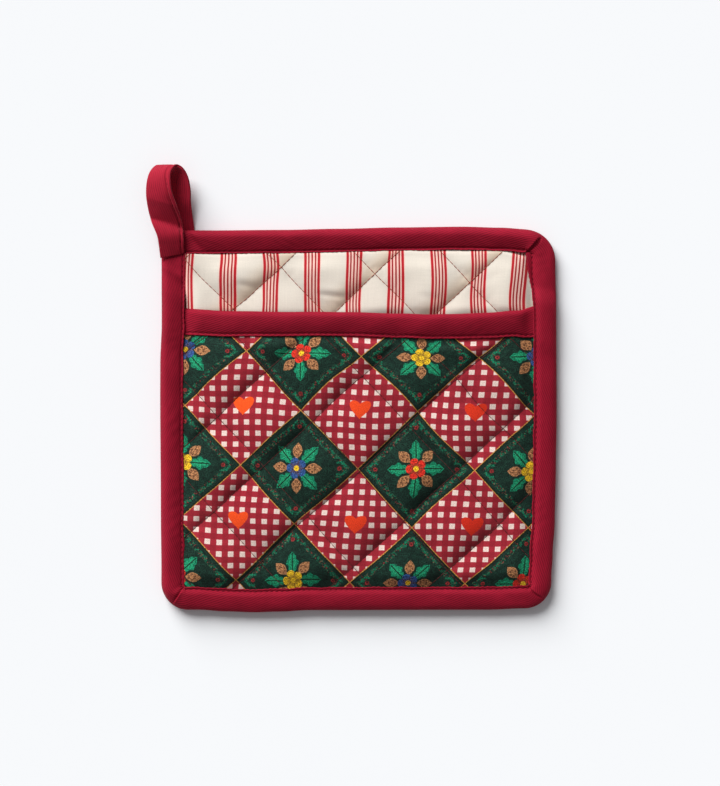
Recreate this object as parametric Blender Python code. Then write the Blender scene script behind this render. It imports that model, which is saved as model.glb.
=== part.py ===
"""Quilted pot holder with a hand pocket, lying on its back.

A striped quilted pad carries a smaller quilted pocket pad on its front. Folded tape binds the
pocket's mouth and the four edges, and a doubled length of the same tape makes the hanging loop
at the top left corner. +X runs to the right, +Y towards the loop, +Z up from the surface that
the pad lies on. The origin is the middle of the pad's back.
"""

import math

import bmesh
import bpy
from mathutils import Vector

MM = 0.001

# The bound square.
WIDTH = 209 * MM
HEIGHT = 202 * MM
HALF_X = WIDTH / 2
HALF_Y = HEIGHT / 2
CORNER_RADII = {"top_right": 14.5 * MM, "top_left": 4 * MM, "bottom_left": 12 * MM, "bottom_right": 12 * MM}

# How far each bound edge strays from straight: place along the edge, distance outwards, in mm.
TOP_WAVE = (
    {"place": -80, "out": -1.1},
    {"place": -40, "out": -0.8},
    {"place": -10, "out": -0.2},
    {"place": 20, "out": 0.5},
    {"place": 55, "out": 0.9},
    {"place": 75, "out": 0.4},
    {"place": 92, "out": -0.6},
)
BOTTOM_WAVE = (
    {"place": -80, "out": 0.6},
    {"place": -55, "out": 1.6},
    {"place": -30, "out": 0.8},
    {"place": 0, "out": 0.7},
    {"place": 40, "out": 0.6},
    {"place": 70, "out": 0.6},
    {"place": 90, "out": -0.1},
)
LEFT_WAVE = (
    {"place": -80, "out": 0.1},
    {"place": -20, "out": 0.3},
    {"place": 15, "out": 0.7},
    {"place": 52, "out": 0.1},
    {"place": 78, "out": 0.3},
)
RIGHT_WAVE = (
    {"place": -84, "out": -1.3},
    {"place": -70, "out": -0.4},
    {"place": -55, "out": 0.5},
    {"place": -25, "out": 1.1},
    {"place": 0, "out": 1.5},
    {"place": 60, "out": 1.5},
    {"place": 84, "out": 0.9},
)

# The binding: folded tape, its width on the pad's face, its thickness and its fold.
BINDING = 12.5 * MM
TAPE = 0.8 * MM
GAP = 0.3 * MM
INNER_RADIUS = 0.8 * MM
FRONT_CURVE = 4.8 * MM
BACK_CURVE = 2.2 * MM
SEWN_LIP = 1.6 * MM
CROWN_RISE = 1.5 * MM
CROWN_RISE_ON_POCKET = 1.1 * MM
CROWN_RISE_UNDER_LOOP = 0.5 * MM

# The stack of cloth that the binding holds, as heights above the surface.
BODY_RIM = 3.1 * MM
POCKET_RIM = 2.0 * MM
BODY_BOTTOM = TAPE + GAP
BODY_TOP = BODY_BOTTOM + BODY_RIM
POCKET_BOTTOM = BODY_TOP + GAP
POCKET_TOP = POCKET_BOTTOM + POCKET_RIM
BODY_INSET = 1.5 * MM
POCKET_INSET = 2.4 * MM
RIM_TAPER = 4.5 * MM
RIM_ROUNDING = 0.38

# Wadding puffs up between the quilting seams, and flattens towards the bound edge.
EDGE_FADE = 7 * MM
PUFF_FULLNESS = 0.75
CHANNEL_RISE = 0.1 * MM
BACK_PLAY = 0.9 * MM
BACK_FLATNESS = 3
BODY_PUFF = 2.3 * MM
BODY_PUFF_PRESSED = 0.4 * MM
PRESSED_BELOW = 56 * MM
FREE_ABOVE = 72 * MM
POCKET_PUFF = 2.1 * MM
POCKET_PUFF_BELOW = 0.3 * MM
POCKET_CHANNEL = 1.5 * MM

# The pocket's mouth: the tape over it, and the arch in which it stands off the pad.
MOUTH_Y = 59.2 * MM
MOUTH_SAG = 4.2 * MM
MOUTH_SAG_REACH = 40 * MM
MOUTH_SAG_POWER = 2.2
MOUTH_BINDING = 14.2 * MM
MOUTH_NARROWING = 1.6 * MM
MOUTH_TAPE = 0.6 * MM
MOUTH_RIM = 1.2 * MM
MOUTH_CURVE = 3.0 * MM
MOUTH_CROWN = 1.0 * MM
MOUTH_CROWN_REACH = 10 * MM
MOUTH_TUCK = 3.5 * MM
MOUTH_EDGE_INSET = 2.2 * MM
MOUTH_STEP_CLEAR = 0.8 * MM
MOUTH_STEP = 3.7 * MM
MOUTH_THINNING = (6 * MM, 0.5 * MM)
MOUTH_END_PLACES = (0 * MM, 3.5 * MM, 5 * MM, 7 * MM, 9 * MM, 10.5 * MM, 14 * MM, 20 * MM, 26 * MM)
MOUTH_STATIONS = 12
MOUTH_STACK_TOP = POCKET_BOTTOM + 2 * (MOUTH_TAPE + GAP) + MOUTH_RIM
POCKET_LIFT = 1.2 * MM
POCKET_BULGE = 7.5 * MM
BULGE_ACROSS_POWER = 2.6
BULGE_ALONG_POWER = 2.2

# The corner between the loop's two ends: its back is raised, and its front is pressed flat.
LOOP_END_LIFT = 1.5 * MM
LIFT_X = (-86 * MM, -76 * MM)
LIFT_Y = (78 * MM, 86.5 * MM)
COVER_X = (-91.4 * MM, -88.4 * MM)
COVER_Y = (85 * MM, 88 * MM)
STEP_SHARES = (0, 0.25, 0.5, 0.75, 1)

# Quilting seams: the way they run, their spacing, and where one of them crosses cross_y.
BODY_SEAMS = (
    {"angle": 42.0, "spacing_x": 55.5 * MM, "cross_x": 4.3 * MM, "cross_y": 72.3 * MM},
    {"angle": -46.0, "spacing_x": 46.0 * MM, "cross_x": 12.6 * MM, "cross_y": 72.3 * MM},
)
POCKET_SEAMS = (
    {"angle": 42.8, "spacing_x": 52.6 * MM, "cross_x": 10.7 * MM, "cross_y": -16.7 * MM},
    {"angle": -47.3, "spacing_x": 48.2 * MM, "cross_x": -8.7 * MM, "cross_y": -16.7 * MM},
)
CUTS_BETWEEN_SEAMS = (0.0, 0.12, 0.36, 0.64, 0.88)
MERGE = 0.25 * MM
CORNER_CUTS = (22.5, 45, 67.5)
SHARP_ANGLE = 50

# The loop's two rims in mm, station by station, from its front end over the bend to its rear end.
LOOP_STATIONS = (
    {"left": (-105.8, 87.3, 6.9), "right": (-92.2, 87.3, 6.9), "thick": 1.5},
    {"left": (-106.3, 91.6, 8.0), "right": (-92.2, 91.6, 8.0), "thick": 1.5},
    {"left": (-107.1, 97.0, 9.7), "right": (-92.3, 97.0, 9.6), "thick": 1.6},
    {"left": (-109.0, 104.5, 9.0), "right": (-93.5, 104.9, 9.6), "thick": 1.8},
    {"left": (-110.9, 111.1, 10.3), "right": (-95.5, 112.2, 13.0), "thick": 1.8},
    {"left": (-111.8, 118.0, 12.4), "right": (-97.5, 118.5, 15.2), "thick": 1.8},
    {"left": (-111.5, 124.4, 12.1), "right": (-98.5, 124.6, 15.6), "thick": 1.8},
    {"left": (-110.2, 129.8, 9.8), "right": (-98.3, 130.0, 14.4), "thick": 1.8},
    {"left": (-107.4, 133.5, 6.2), "right": (-96.6, 133.0, 12.2), "thick": 1.8},
    {"left": (-104.8, 132.6, 3.2), "right": (-93.5, 131.4, 11.4), "thick": 1.8},
    {"left": (-103.4, 128.6, 1.9), "right": (-90.9, 127.4, 10.2), "thick": 1.8},
    {"left": (-103.3, 122.2, 1.3), "right": (-89.3, 121.2, 7.8), "thick": 1.8},
    {"left": (-103.2, 114.8, 1.0), "right": (-88.6, 114.3, 4.4), "thick": 1.8},
    {"left": (-103.1, 107.4, 0.95), "right": (-88.0, 107.4, 1.8), "thick": 1.8},
    {"left": (-102.4, 100.4, 0.72), "right": (-87.3, 100.4, 0.72), "thick": 1.4},
    {"left": (-102.2, 95.0, 0.61), "right": (-87.3, 95.0, 0.61), "thick": 1.2},
    {"left": (-102.1, 88.8, 0.61), "right": (-87.3, 88.8, 0.61), "thick": 1.2},
)
LOOP_STEPS = 3
LOOP_SEAM_DEPTH = 0.9 * MM
LOOP_EDGE_ROUND = 0.6 * MM


def smooth(low, high, x):
    """0 below low, 1 above high and a smooth step between them."""
    t = min(max((x - low) / (high - low), 0.0), 1.0)
    return t * t * (3 - 2 * t)


def mix(a, b, t):
    """The value a share t of the way from a to b."""
    return a + (b - a) * t


def steps(low, high):
    """The places from low to high where a step in height is followed."""
    return [mix(low, high, share) for share in STEP_SHARES]


def wave(table, place):
    """How far an edge strays outwards at a place along it, by smooth steps between the rows."""
    place /= MM
    for row, following in zip(table, table[1:]):
        if place < following["place"]:
            share = smooth(row["place"], following["place"], place)
            return mix(row["out"], following["out"], share) * MM
    return table[-1]["out"] * MM


def uneven(x, y):
    """A point of the straight-edged square, moved to where the real, uneven edges put it."""
    across = smooth(-HALF_X, HALF_X, x)
    along = smooth(-HALF_Y, HALF_Y, y)
    dx = mix(-wave(LEFT_WAVE, y), wave(RIGHT_WAVE, y), across)
    dy = mix(-wave(BOTTOM_WAVE, x), wave(TOP_WAVE, x), along)
    return x + dx, y + dy


def edge_distance(x, y):
    """How far a point lies inside the bound square's rounded outline."""
    side = "right" if x > 0 else "left"
    end = "top" if y > 0 else "bottom"
    radius = CORNER_RADII[f"{end}_{side}"]
    dx = abs(x) - (HALF_X - radius)
    dy = abs(y) - (HALF_Y - radius)
    outside = math.hypot(max(dx, 0.0), max(dy, 0.0))
    return radius - outside - min(max(dx, dy), 0.0)


def seam_normal(seam):
    """The unit vector across a family of seams, and the distance between two of them."""
    angle = math.radians(seam["angle"])
    normal = Vector((math.sin(angle), -math.cos(angle), 0))
    return normal, seam["spacing_x"] * abs(normal.x)


def puff(seams, x, y):
    """0 on every seam, and 1 in the middle of each quilted diamond."""
    height = 1.0
    for seam in seams:
        normal, spacing = seam_normal(seam)
        across = (x - seam["cross_x"]) * normal.x + (y - seam["cross_y"]) * normal.y
        height *= abs(math.sin(math.pi * across / spacing)) ** PUFF_FULLNESS
    return height


def middle_share(x):
    """1 at the pocket's middle and 0 where its mouth meets the side bindings."""
    return 1 - min(abs(x) / (HALF_X - BINDING), 1.0) ** MOUTH_SAG_POWER


def mouth_y(x):
    """The pocket's top edge, which hangs a little between its sewn ends."""
    return MOUTH_Y - MOUTH_SAG * middle_share(x)


def mouth_width(x):
    """The mouth tape's width on the pocket, a little narrower where the mouth rolls."""
    return MOUTH_BINDING - MOUTH_NARROWING * middle_share(x)


def loop_lift(x, y):
    """1 over the loop's rear end, 0 away from it."""
    return (1 - smooth(*LIFT_X, x)) * smooth(*LIFT_Y, y)


def loop_cover(x, y):
    """1 under the loop's front end, 0 away from it."""
    return (1 - smooth(*COVER_X, x)) * smooth(*COVER_Y, y)


def body_heights(x, y):
    """The body pad's underside and top, puffs included."""
    u = edge_distance(x, y)
    inside = smooth(BINDING, BINDING + EDGE_FADE, u)
    bottom = BODY_BOTTOM + LOOP_END_LIFT * loop_lift(x, y)
    rounding = RIM_ROUNDING * (BODY_TOP - bottom) * (1 - smooth(BODY_INSET, RIM_TAPER, u))
    bump = puff(BODY_SEAMS, x, y)
    height = mix(BODY_PUFF_PRESSED, BODY_PUFF, smooth(PRESSED_BELOW, FREE_ABOVE, y))
    under = mix(bottom + rounding, BACK_PLAY * (1 - min(1.0, BACK_FLATNESS * bump)), inside)
    return under, BODY_TOP - rounding + (CHANNEL_RISE + height * bump) * inside


def mouth_zone(x, y):
    """1 inside the mouth tape's fold, 0 well below it."""
    edge = mouth_y(x) - mouth_width(x)
    start, end = MOUTH_THINNING
    return smooth(edge - start, edge - end, y)


def pocket_bottom(x, y):
    """The pocket pad's underside without its puffs: sewn down at the sides, arched at the mouth."""
    inside = smooth(BINDING, BINDING + EDGE_FADE, min(edge_distance(x, y), HALF_X - abs(x)))
    half = HALF_X - BINDING - MOUTH_TUCK
    across = 1 - min(abs(x) / half, 1.0) ** BULGE_ACROSS_POWER
    length = MOUTH_Y + HALF_Y - BINDING
    along = 1 - min(max(MOUTH_Y - y, 0.0) / length, 1.0) ** BULGE_ALONG_POWER
    step = (MOUTH_TAPE + GAP) * mouth_zone(x, y)
    return POCKET_BOTTOM + step + POCKET_LIFT * inside + POCKET_BULGE * across * along


def pocket_heights(x, y):
    """The pocket pad's underside and top, puffs included."""
    u = edge_distance(x, y) if y < 0 else HALF_X - abs(x)
    fold = mouth_zone(x, y)
    inside = smooth(BINDING, BINDING + EDGE_FADE, u) * (1 - fold)
    rounding = RIM_ROUNDING * POCKET_RIM * (1 - smooth(POCKET_INSET, RIM_TAPER, u)) * (1 - fold)
    thin = mouth_y(x) - 2 * MOUTH_EDGE_INSET
    tip = RIM_ROUNDING * MOUTH_RIM / 2 * smooth(thin, thin + MOUTH_EDGE_INSET, y)
    bump = puff(POCKET_SEAMS, x, y) * inside
    thick = mix(mix(POCKET_RIM, POCKET_CHANNEL, inside), MOUTH_RIM, fold)
    low = pocket_bottom(x, y)
    return low - POCKET_PUFF_BELOW * bump + tip, low + thick + POCKET_PUFF * bump - rounding - tip


def make_material(name, colour, roughness):
    """A matte cloth of one colour, given as linear red, green and blue."""
    material = bpy.data.materials.new(name)
    material.use_nodes = True
    shader = material.node_tree.nodes["Principled BSDF"]
    shader.inputs["Base Color"].default_value = (*colour, 1)
    shader.inputs["Roughness"].default_value = roughness
    shader.inputs["Metallic"].default_value = 0
    return material


def make_uneven(mesh):
    """Moves a mesh built on the straight-edged square onto the uneven outline."""
    for vertex in mesh.verts:
        vertex.co.x, vertex.co.y = uneven(vertex.co.x, vertex.co.y)


def add_object(name, mesh, material, collection):
    """Turns the mesh's faces outwards and adds it to the scene."""
    bmesh.ops.recalc_face_normals(mesh, faces=mesh.faces)
    data = bpy.data.meshes.new(name)
    mesh.to_mesh(data)
    mesh.free()
    data.materials.append(material)
    data.shade_smooth()
    data.set_sharp_from_angle(angle=math.radians(SHARP_ANGLE))
    made = bpy.data.objects.new(name, data)
    collection.objects.link(made)


def flat_sheet(low, high):
    """A flat one-face sheet between two corners."""
    mesh = bmesh.new()
    bmesh.ops.create_grid(mesh, x_segments=1, y_segments=1, size=0.5)
    for vertex in mesh.verts:
        vertex.co.x = mix(low[0], high[0], vertex.co.x + 0.5)
        vertex.co.y = mix(low[1], high[1], vertex.co.y + 0.5)
    return mesh


def cut(mesh, point, normal, faces=None, clear_outer=False):
    """Cuts a flat sheet along a line, right across or only in the given faces."""
    faces = mesh.faces[:] if faces is None else faces
    edges = {edge for face in faces for edge in face.edges}
    vertices = {vertex for face in faces for vertex in face.verts}
    bmesh.ops.bisect_plane(
        mesh,
        geom=[*vertices, *edges, *faces],
        dist=MERGE,
        plane_co=point,
        plane_no=normal,
        clear_outer=clear_outer,
    )


def cut_along_seams(mesh, seams):
    """Cuts a flat sheet along its quilting seams and at fixed shares of the way between them."""
    reach = math.hypot(HALF_X, HALF_Y)
    for seam in seams:
        normal, spacing = seam_normal(seam)
        start = Vector((seam["cross_x"], seam["cross_y"], 0))
        first = int((-reach - start.dot(normal)) / spacing) - 1
        last = int((reach - start.dot(normal)) / spacing) + 1
        for turn in range(first, last + 1):
            for share in CUTS_BETWEEN_SEAMS:
                cut(mesh, start + normal * (turn + share) * spacing, normal)


def cut_along_edges(mesh, insets, has_top):
    """Cuts a flat sheet parallel to its bound edges, at distances in from the outline."""
    for inset in insets:
        for side in (-1, 1):
            cut(mesh, (side * (HALF_X - inset), 0, 0), (1, 0, 0))
        cut(mesh, (0, -HALF_Y + inset, 0), (0, 1, 0))
        if has_top:
            cut(mesh, (0, HALF_Y - inset, 0), (0, 1, 0))


def cut_loop_corner(mesh):
    """Short cuts across the bound edge, where the corner over the loop's rear end rises."""
    planes = [((x, 0, 0), (1, 0, 0)) for x in steps(*LIFT_X)]
    planes += [((0, y, 0), (0, 1, 0)) for y in steps(*LIFT_Y)]
    for point, normal in planes:
        near = [
            face
            for face in mesh.faces
            if min(v.co.x for v in face.verts) < LIFT_X[1] and max(v.co.y for v in face.verts) > LIFT_Y[0]
        ]
        cut(mesh, point, normal, faces=near)


def trim_corners(mesh, inset, corners):
    """Trims each rounded corner by planes that touch it, inset from the outline."""
    for name in corners:
        sign_x = 1 if name.endswith("right") else -1
        sign_y = 1 if name.startswith("top") else -1
        radius = CORNER_RADII[name]
        centre = Vector((sign_x * (HALF_X - radius), sign_y * (HALF_Y - radius), 0))
        for degrees in CORNER_CUTS:
            turn = math.radians(degrees)
            outward = Vector((sign_x * math.cos(turn), sign_y * math.sin(turn), 0))
            cut(mesh, centre + outward * (radius - inset), outward, clear_outer=True)


def thicken(mesh, heights):
    """Doubles a flat sheet into a closed pad whose two faces lie at heights(x, y)."""
    bmesh.ops.triangulate(mesh, faces=mesh.faces[:])
    under = list(mesh.verts)
    made = bmesh.ops.extrude_face_region(mesh, geom=mesh.faces[:], use_keep_orig=True)
    over = [part for part in made["geom"] if isinstance(part, bmesh.types.BMVert)]
    for vertices, face in ((under, 0), (over, 1)):
        for vertex in vertices:
            vertex.co.z = heights(vertex.co.x, vertex.co.y)[face]


def body_pad(material, collection):
    """The full-size quilted pad, flat on its back."""
    corner = Vector((HALF_X - BODY_INSET, HALF_Y - BODY_INSET))
    mesh = flat_sheet(-corner, corner)
    cut_along_seams(mesh, BODY_SEAMS)
    cut_along_edges(mesh, (RIM_TAPER, BINDING, BINDING + EDGE_FADE), has_top=True)
    cut_loop_corner(mesh)
    trim_corners(mesh, BODY_INSET, CORNER_RADII)
    thicken(mesh, body_heights)
    make_uneven(mesh)
    add_object("body_pad", mesh, material, collection)


def pocket_pad(material, collection):
    """The quilted pocket pad: sewn in on three sides and open at the top."""
    edge_x = HALF_X - POCKET_INSET
    top = MOUTH_Y - MOUTH_EDGE_INSET
    mesh = flat_sheet((-edge_x, -HALF_Y + POCKET_INSET), (edge_x, top))
    cut_along_seams(mesh, POCKET_SEAMS)
    rises = [mix(BINDING, BINDING + EDGE_FADE, share) for share in (0, 0.5, 1)]
    cut_along_edges(mesh, (RIM_TAPER, *rises), has_top=False)
    for below in (MOUTH_EDGE_INSET, MOUTH_BINDING - MOUTH_EDGE_INSET, MOUTH_BINDING + MOUTH_STEP):
        cut(mesh, (0, top - below, 0), (0, 1, 0))
    trim_corners(mesh, POCKET_INSET, ("bottom_left", "bottom_right"))
    for vertex in mesh.verts:
        sag = MOUTH_Y - mouth_y(vertex.co.x)
        vertex.co.y -= sag * smooth(top - MOUTH_SAG_REACH, top, vertex.co.y)
    thicken(mesh, pocket_heights)
    make_uneven(mesh)
    add_object("pocket_pad", mesh, material, collection)


def skin(mesh, sections, closed):
    """Joins a row of equal closed sections with quads.

    Each end of an open row is capped by quads between the first and second halves of its ring.
    """
    rings = [[mesh.verts.new(point) for point in section] for section in sections]
    pairs = list(zip(rings, rings[1:]))
    if closed:
        pairs.append((rings[-1], rings[0]))
    for ring, following in pairs:
        for i in range(len(ring)):
            j = (i + 1) % len(ring)
            mesh.faces.new((ring[i], ring[j], following[j], following[i]))
    for ring in [] if closed else [rings[0], rings[-1]]:
        for i in range(len(ring) // 2 - 1):
            mesh.faces.new((ring[i], ring[i + 1], ring[-2 - i], ring[-1 - i]))
    bmesh.ops.triangulate(mesh, faces=mesh.faces[:])


def folded_tape(width, curve, back_curve, tape, heights):
    """A folded tape's section, as points of distance in from the fold and height.

    The points run round the outside and then as many back round the inside. heights names the
    levels of the fold, the crown behind it and the outsides of the front and back legs.
    """

    def arc(u, start, reach):
        """The share of a quarter ellipse's height that is reached at u."""
        share = min((u - start) / (reach - start), 1.0)
        return math.sqrt(1 - (1 - share) ** 2)

    def front(u, depth):
        """The front leg's height, at a depth below its outside."""
        if u < curve:
            return mix(heights["fold"], heights["crown"] - depth, arc(u, depth, curve))
        return mix(heights["crown"], heights["front"], smooth(curve, width - SEWN_LIP, u)) - depth

    def back(u, depth):
        """The back leg's height, at a depth above its outside."""
        return mix(heights["fold"], heights["back"] + depth, arc(u, depth, back_curve))

    legs = []
    for depth in (0, tape):
        front_places = [mix(depth, curve, share) for share in (0.1, 0.4, 1)]
        front_places += [0.6 * width, width - SEWN_LIP, width]
        back_places = [mix(depth, back_curve, share) for share in (0, 0.25, 1)] + [width]
        side = [(u, front(u, depth)) for u in reversed(front_places)]
        legs.append(side + [(u, back(u, depth)) for u in back_places])
    outside, inside = legs
    return outside + inside[::-1]


def stack_top(y):
    """The top of the cloth under a side binding's front leg, at a height along that side."""
    above = 1 - smooth(MOUTH_Y + MOUTH_STEP_CLEAR, MOUTH_Y + MOUTH_STEP_CLEAR + MOUTH_STEP, y)
    low = MOUTH_Y - MOUTH_BINDING - MOUTH_STEP_CLEAR
    return mix(mix(BODY_TOP, POCKET_TOP, above), MOUTH_STACK_TOP, above * smooth(low - MOUTH_STEP, low, y))


def binding_section(outer, inner):
    """The edge binding's section between a point on the outline and one on its inner edge."""
    stack = stack_top(inner[1])
    on_pocket = min((stack - BODY_TOP) / (POCKET_TOP - BODY_TOP), 1.0)
    rise = mix(CROWN_RISE, CROWN_RISE_ON_POCKET, on_pocket)
    bottom = LOOP_END_LIFT * loop_lift(*outer)
    heights = {
        "back": bottom,
        "fold": (BODY_BOTTOM + bottom + BODY_TOP) / 2,
        "crown": stack + GAP + TAPE + mix(rise, CROWN_RISE_UNDER_LOOP, loop_cover(*outer)),
        "front": stack + GAP + TAPE,
    }
    start = Vector((*outer, 0))
    inward = Vector((*inner, 0)) - start
    profile = folded_tape(inward.length, FRONT_CURVE, BACK_CURVE, TAPE, heights)
    return [start + inward.normalized() * u + Vector((0, 0, z)) for u, z in profile]


def corner_stations(name, start_degrees, count=6):
    """Pairs of outer and inner points round one corner, turning anticlockwise."""
    sign_x = 1 if name.endswith("right") else -1
    sign_y = 1 if name.startswith("top") else -1
    outer_arc = (CORNER_RADII[name], CORNER_RADII[name])
    inner_arc = (INNER_RADIUS, BINDING + INNER_RADIUS)
    pairs = []
    for step in range(count + 1):
        turn = math.radians(start_degrees + 90 * step / count)
        pair = []
        for radius, reach in (outer_arc, inner_arc):
            x = sign_x * (HALF_X - reach) + radius * math.cos(turn)
            y = sign_y * (HALF_Y - reach) + radius * math.sin(turn)
            pair.append((x, y))
        pairs.append(pair)
    return pairs


def side_stations(side, places):
    """Pairs of outer and inner points straight across one side of the binding."""
    sign = 1 if side in ("right", "top") else -1
    if side in ("left", "right"):
        return [((sign * HALF_X, place), (sign * (HALF_X - BINDING), place)) for place in places]
    return [((place, sign * HALF_Y), (place, sign * (HALF_Y - BINDING))) for place in places]


def edge_binding(material, collection):
    """One length of folded tape round all four edges, mitred at the corners."""
    low = MOUTH_Y - MOUTH_BINDING - MOUTH_STEP_CLEAR
    high = MOUTH_Y + MOUTH_STEP_CLEAR
    plain_y = [y * MM for y in (-70, -50, -30, -10, 10, 26, 52, 70)]
    plain_x = [x * MM for x in (-66, -44, -22, 0, 22, 44, 66)]
    right = sorted([*plain_y, *steps(low - MOUTH_STEP, low), *steps(high, high + MOUTH_STEP)])
    left = sorted({*right, *steps(*LIFT_Y), *steps(*COVER_Y)})
    top = sorted({*plain_x, *steps(*LIFT_X), *steps(*COVER_X)[1:]})
    stations = [
        *corner_stations("top_right", 0),
        *side_stations("top", reversed(top)),
        *corner_stations("top_left", 90),
        *side_stations("left", reversed(left)),
        *corner_stations("bottom_left", 180),
        *side_stations("bottom", plain_x),
        *corner_stations("bottom_right", 270),
        *side_stations("right", right),
    ]
    mesh = bmesh.new()
    skin(mesh, [binding_section(outer, inner) for outer, inner in stations], closed=True)
    make_uneven(mesh)
    add_object("edge_binding", mesh, material, collection)


def mouth_section(x):
    """The mouth tape's section, wrapped over the pocket pad's top edge."""
    skin_out = MOUTH_RIM / 2 + GAP + MOUTH_TAPE
    crown = MOUTH_CROWN * smooth(0.0, MOUTH_CROWN_REACH, HALF_X - BINDING - abs(x))
    heights = {"back": -skin_out, "fold": 0, "crown": skin_out + crown, "front": skin_out}
    top, width = mouth_y(x), mouth_width(x)
    section = []
    for below, height in folded_tape(width, MOUTH_CURVE, MOUTH_CURVE, MOUTH_TAPE, heights):
        y = top - below
        section.append(Vector((x, y, pocket_bottom(x, y) + MOUTH_RIM / 2 + height)))
    return section


def mouth_binding(material, collection):
    """Folded tape over the pocket's open edge, its ends caught under the side bindings."""
    end = HALF_X - BINDING + MOUTH_TUCK
    middle = end - MOUTH_END_PLACES[-1]
    places = [-end + place for place in MOUTH_END_PLACES]
    places += [mix(-middle, middle, step / MOUTH_STATIONS) for step in range(1, MOUTH_STATIONS)]
    places += [end - place for place in reversed(MOUTH_END_PLACES)]
    mesh = bmesh.new()
    skin(mesh, [mouth_section(x) for x in places], closed=False)
    make_uneven(mesh)
    add_object("mouth_binding", mesh, material, collection)


def through(values, place):
    """A smooth curve through evenly spaced values, read at a place counted in values."""
    i = min(int(place), len(values) - 2)
    t = place - i
    a, b = values[i], values[i + 1]
    slope_a = (b - values[max(i - 1, 0)]) / 2
    slope_b = (values[min(i + 2, len(values) - 1)] - a) / 2
    start = a * (2 * t**3 - 3 * t**2 + 1) + slope_a * (t**3 - 2 * t**2 + t)
    return start + b * (3 * t**2 - 2 * t**3) + slope_b * (t**3 - t**2)


def hanging_loop(material, collection):
    """The doubled tape: from the front of the corner, up and over, and back behind it."""
    left = [Vector(station["left"]) * MM for station in LOOP_STATIONS]
    right = [Vector(station["right"]) * MM for station in LOOP_STATIONS]
    thick = [station["thick"] * MM for station in LOOP_STATIONS]
    count = (len(LOOP_STATIONS) - 1) * LOOP_STEPS
    places = [step / LOOP_STEPS for step in range(count + 1)]
    centres = [(through(left, place) + through(right, place)) / 2 for place in places]
    sections = []
    for i, place in enumerate(places):
        forward = centres[min(i + 1, count)] - centres[max(i - 1, 0)]
        across = through(right, place) - through(left, place)
        half_width = across.length / 2
        along = across.normalized()
        up = along.cross(forward).normalized()
        half = through(thick, place) / 2
        profile = (
            (-half_width, 0),
            (-half_width + LOOP_EDGE_ROUND, half),
            (half_width / 2, half),
            (half_width, half / 2),
            (half_width - LOOP_SEAM_DEPTH, 0),
            (half_width, -half / 2),
            (half_width / 2, -half),
            (-half_width + LOOP_EDGE_ROUND, -half),
        )
        sections.append([centres[i] + along * u + up * v for u, v in profile])
    mesh = bmesh.new()
    skin(mesh, sections, closed=False)
    add_object("hanging_loop", mesh, material, collection)


def main():
    """Builds the pot holder's five pieces in a collection of their own."""
    for leftover in list(bpy.data.objects):
        bpy.data.objects.remove(leftover)
    collection = bpy.data.collections.new("pot_holder")
    bpy.context.scene.collection.children.link(collection)
    tape = make_material("red_twill_tape", (0.33, 0.018, 0.036), 0.85)
    body_pad(make_material("striped_cotton", (0.76, 0.66, 0.58), 0.9), collection)
    pocket_pad(make_material("printed_cotton", (0.12, 0.06, 0.05), 0.9), collection)
    edge_binding(tape, collection)
    mouth_binding(tape, collection)
    hanging_loop(tape, collection)


main()
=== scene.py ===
"""The looks of a quilted pot holder with a hand pocket and a hanging loop.

Each piece of cloth is a surface worked out on a numpy grid from sizes in millimetres: two quilted
pads, the folded tape that binds them, the doubled tape of the loop, and the sewing. The pieces lie
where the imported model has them, and their finishes are built from shader nodes.
"""

import logging
import math
from dataclasses import dataclass
from enum import Enum

import bpy
import numpy as np
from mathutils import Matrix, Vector


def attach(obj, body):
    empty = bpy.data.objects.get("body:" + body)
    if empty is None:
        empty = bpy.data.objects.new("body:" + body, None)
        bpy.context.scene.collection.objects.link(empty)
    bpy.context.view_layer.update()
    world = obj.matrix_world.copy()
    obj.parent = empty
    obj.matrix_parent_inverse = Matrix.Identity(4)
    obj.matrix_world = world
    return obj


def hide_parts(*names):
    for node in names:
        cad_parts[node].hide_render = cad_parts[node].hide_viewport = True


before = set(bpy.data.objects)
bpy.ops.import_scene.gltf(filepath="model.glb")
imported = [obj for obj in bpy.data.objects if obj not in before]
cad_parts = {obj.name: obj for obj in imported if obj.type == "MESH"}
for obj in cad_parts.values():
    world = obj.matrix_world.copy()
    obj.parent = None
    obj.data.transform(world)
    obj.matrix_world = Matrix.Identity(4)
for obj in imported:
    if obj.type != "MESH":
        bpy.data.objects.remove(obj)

Array = np.ndarray
Colour = tuple[float, float, float]
Piece = bpy.types.Object
Socket = bpy.types.NodeSocket
Material = bpy.types.Material
MM = 0.001
FLAT_MAP = "flat_cloth"
LOG = logging.getLogger("pot_holder")


# --- Sizes and formulas shared by the pieces ---


def smooth(low: float | Array, high: float | Array, x: float | Array) -> Array:
    """A smooth step: 0 below low, 1 above high, 3t squared less 2t cubed between them."""
    t = np.clip((x - low) / (high - low), 0.0, 1.0)
    return t * t * (3 - 2 * t)


def mix(a: float | Array, b: float | Array, share: float | Array) -> Array:
    """The value a share of the way from a to b."""
    return a + (b - a) * share


def ripples(x: Array, y: Array, length: float, seed: int, waves: int = 14) -> Array:
    """Soft unevenness: the sum of plane waves of about one length, with seeded headings and phases.

    Args:
        x: Places across, in metres.
        y: Places along, in metres.
        length: The typical distance from crest to crest, in metres.
        seed: Which of the many possible reliefs is taken.
        waves: How many waves are added.

    Returns:
        A relief that mostly lies between -1 and 1.
    """
    draw = np.random.default_rng(seed)
    relief = np.zeros(np.broadcast(x, y).shape)
    for _ in range(waves):
        heading, phase = draw.uniform(0, math.tau, 2)
        pace = math.tau / (length * draw.uniform(0.7, 1.6))
        relief += np.sin(pace * (x * math.cos(heading) + y * math.sin(heading)) + phase)
    return relief / math.sqrt(waves)


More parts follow.
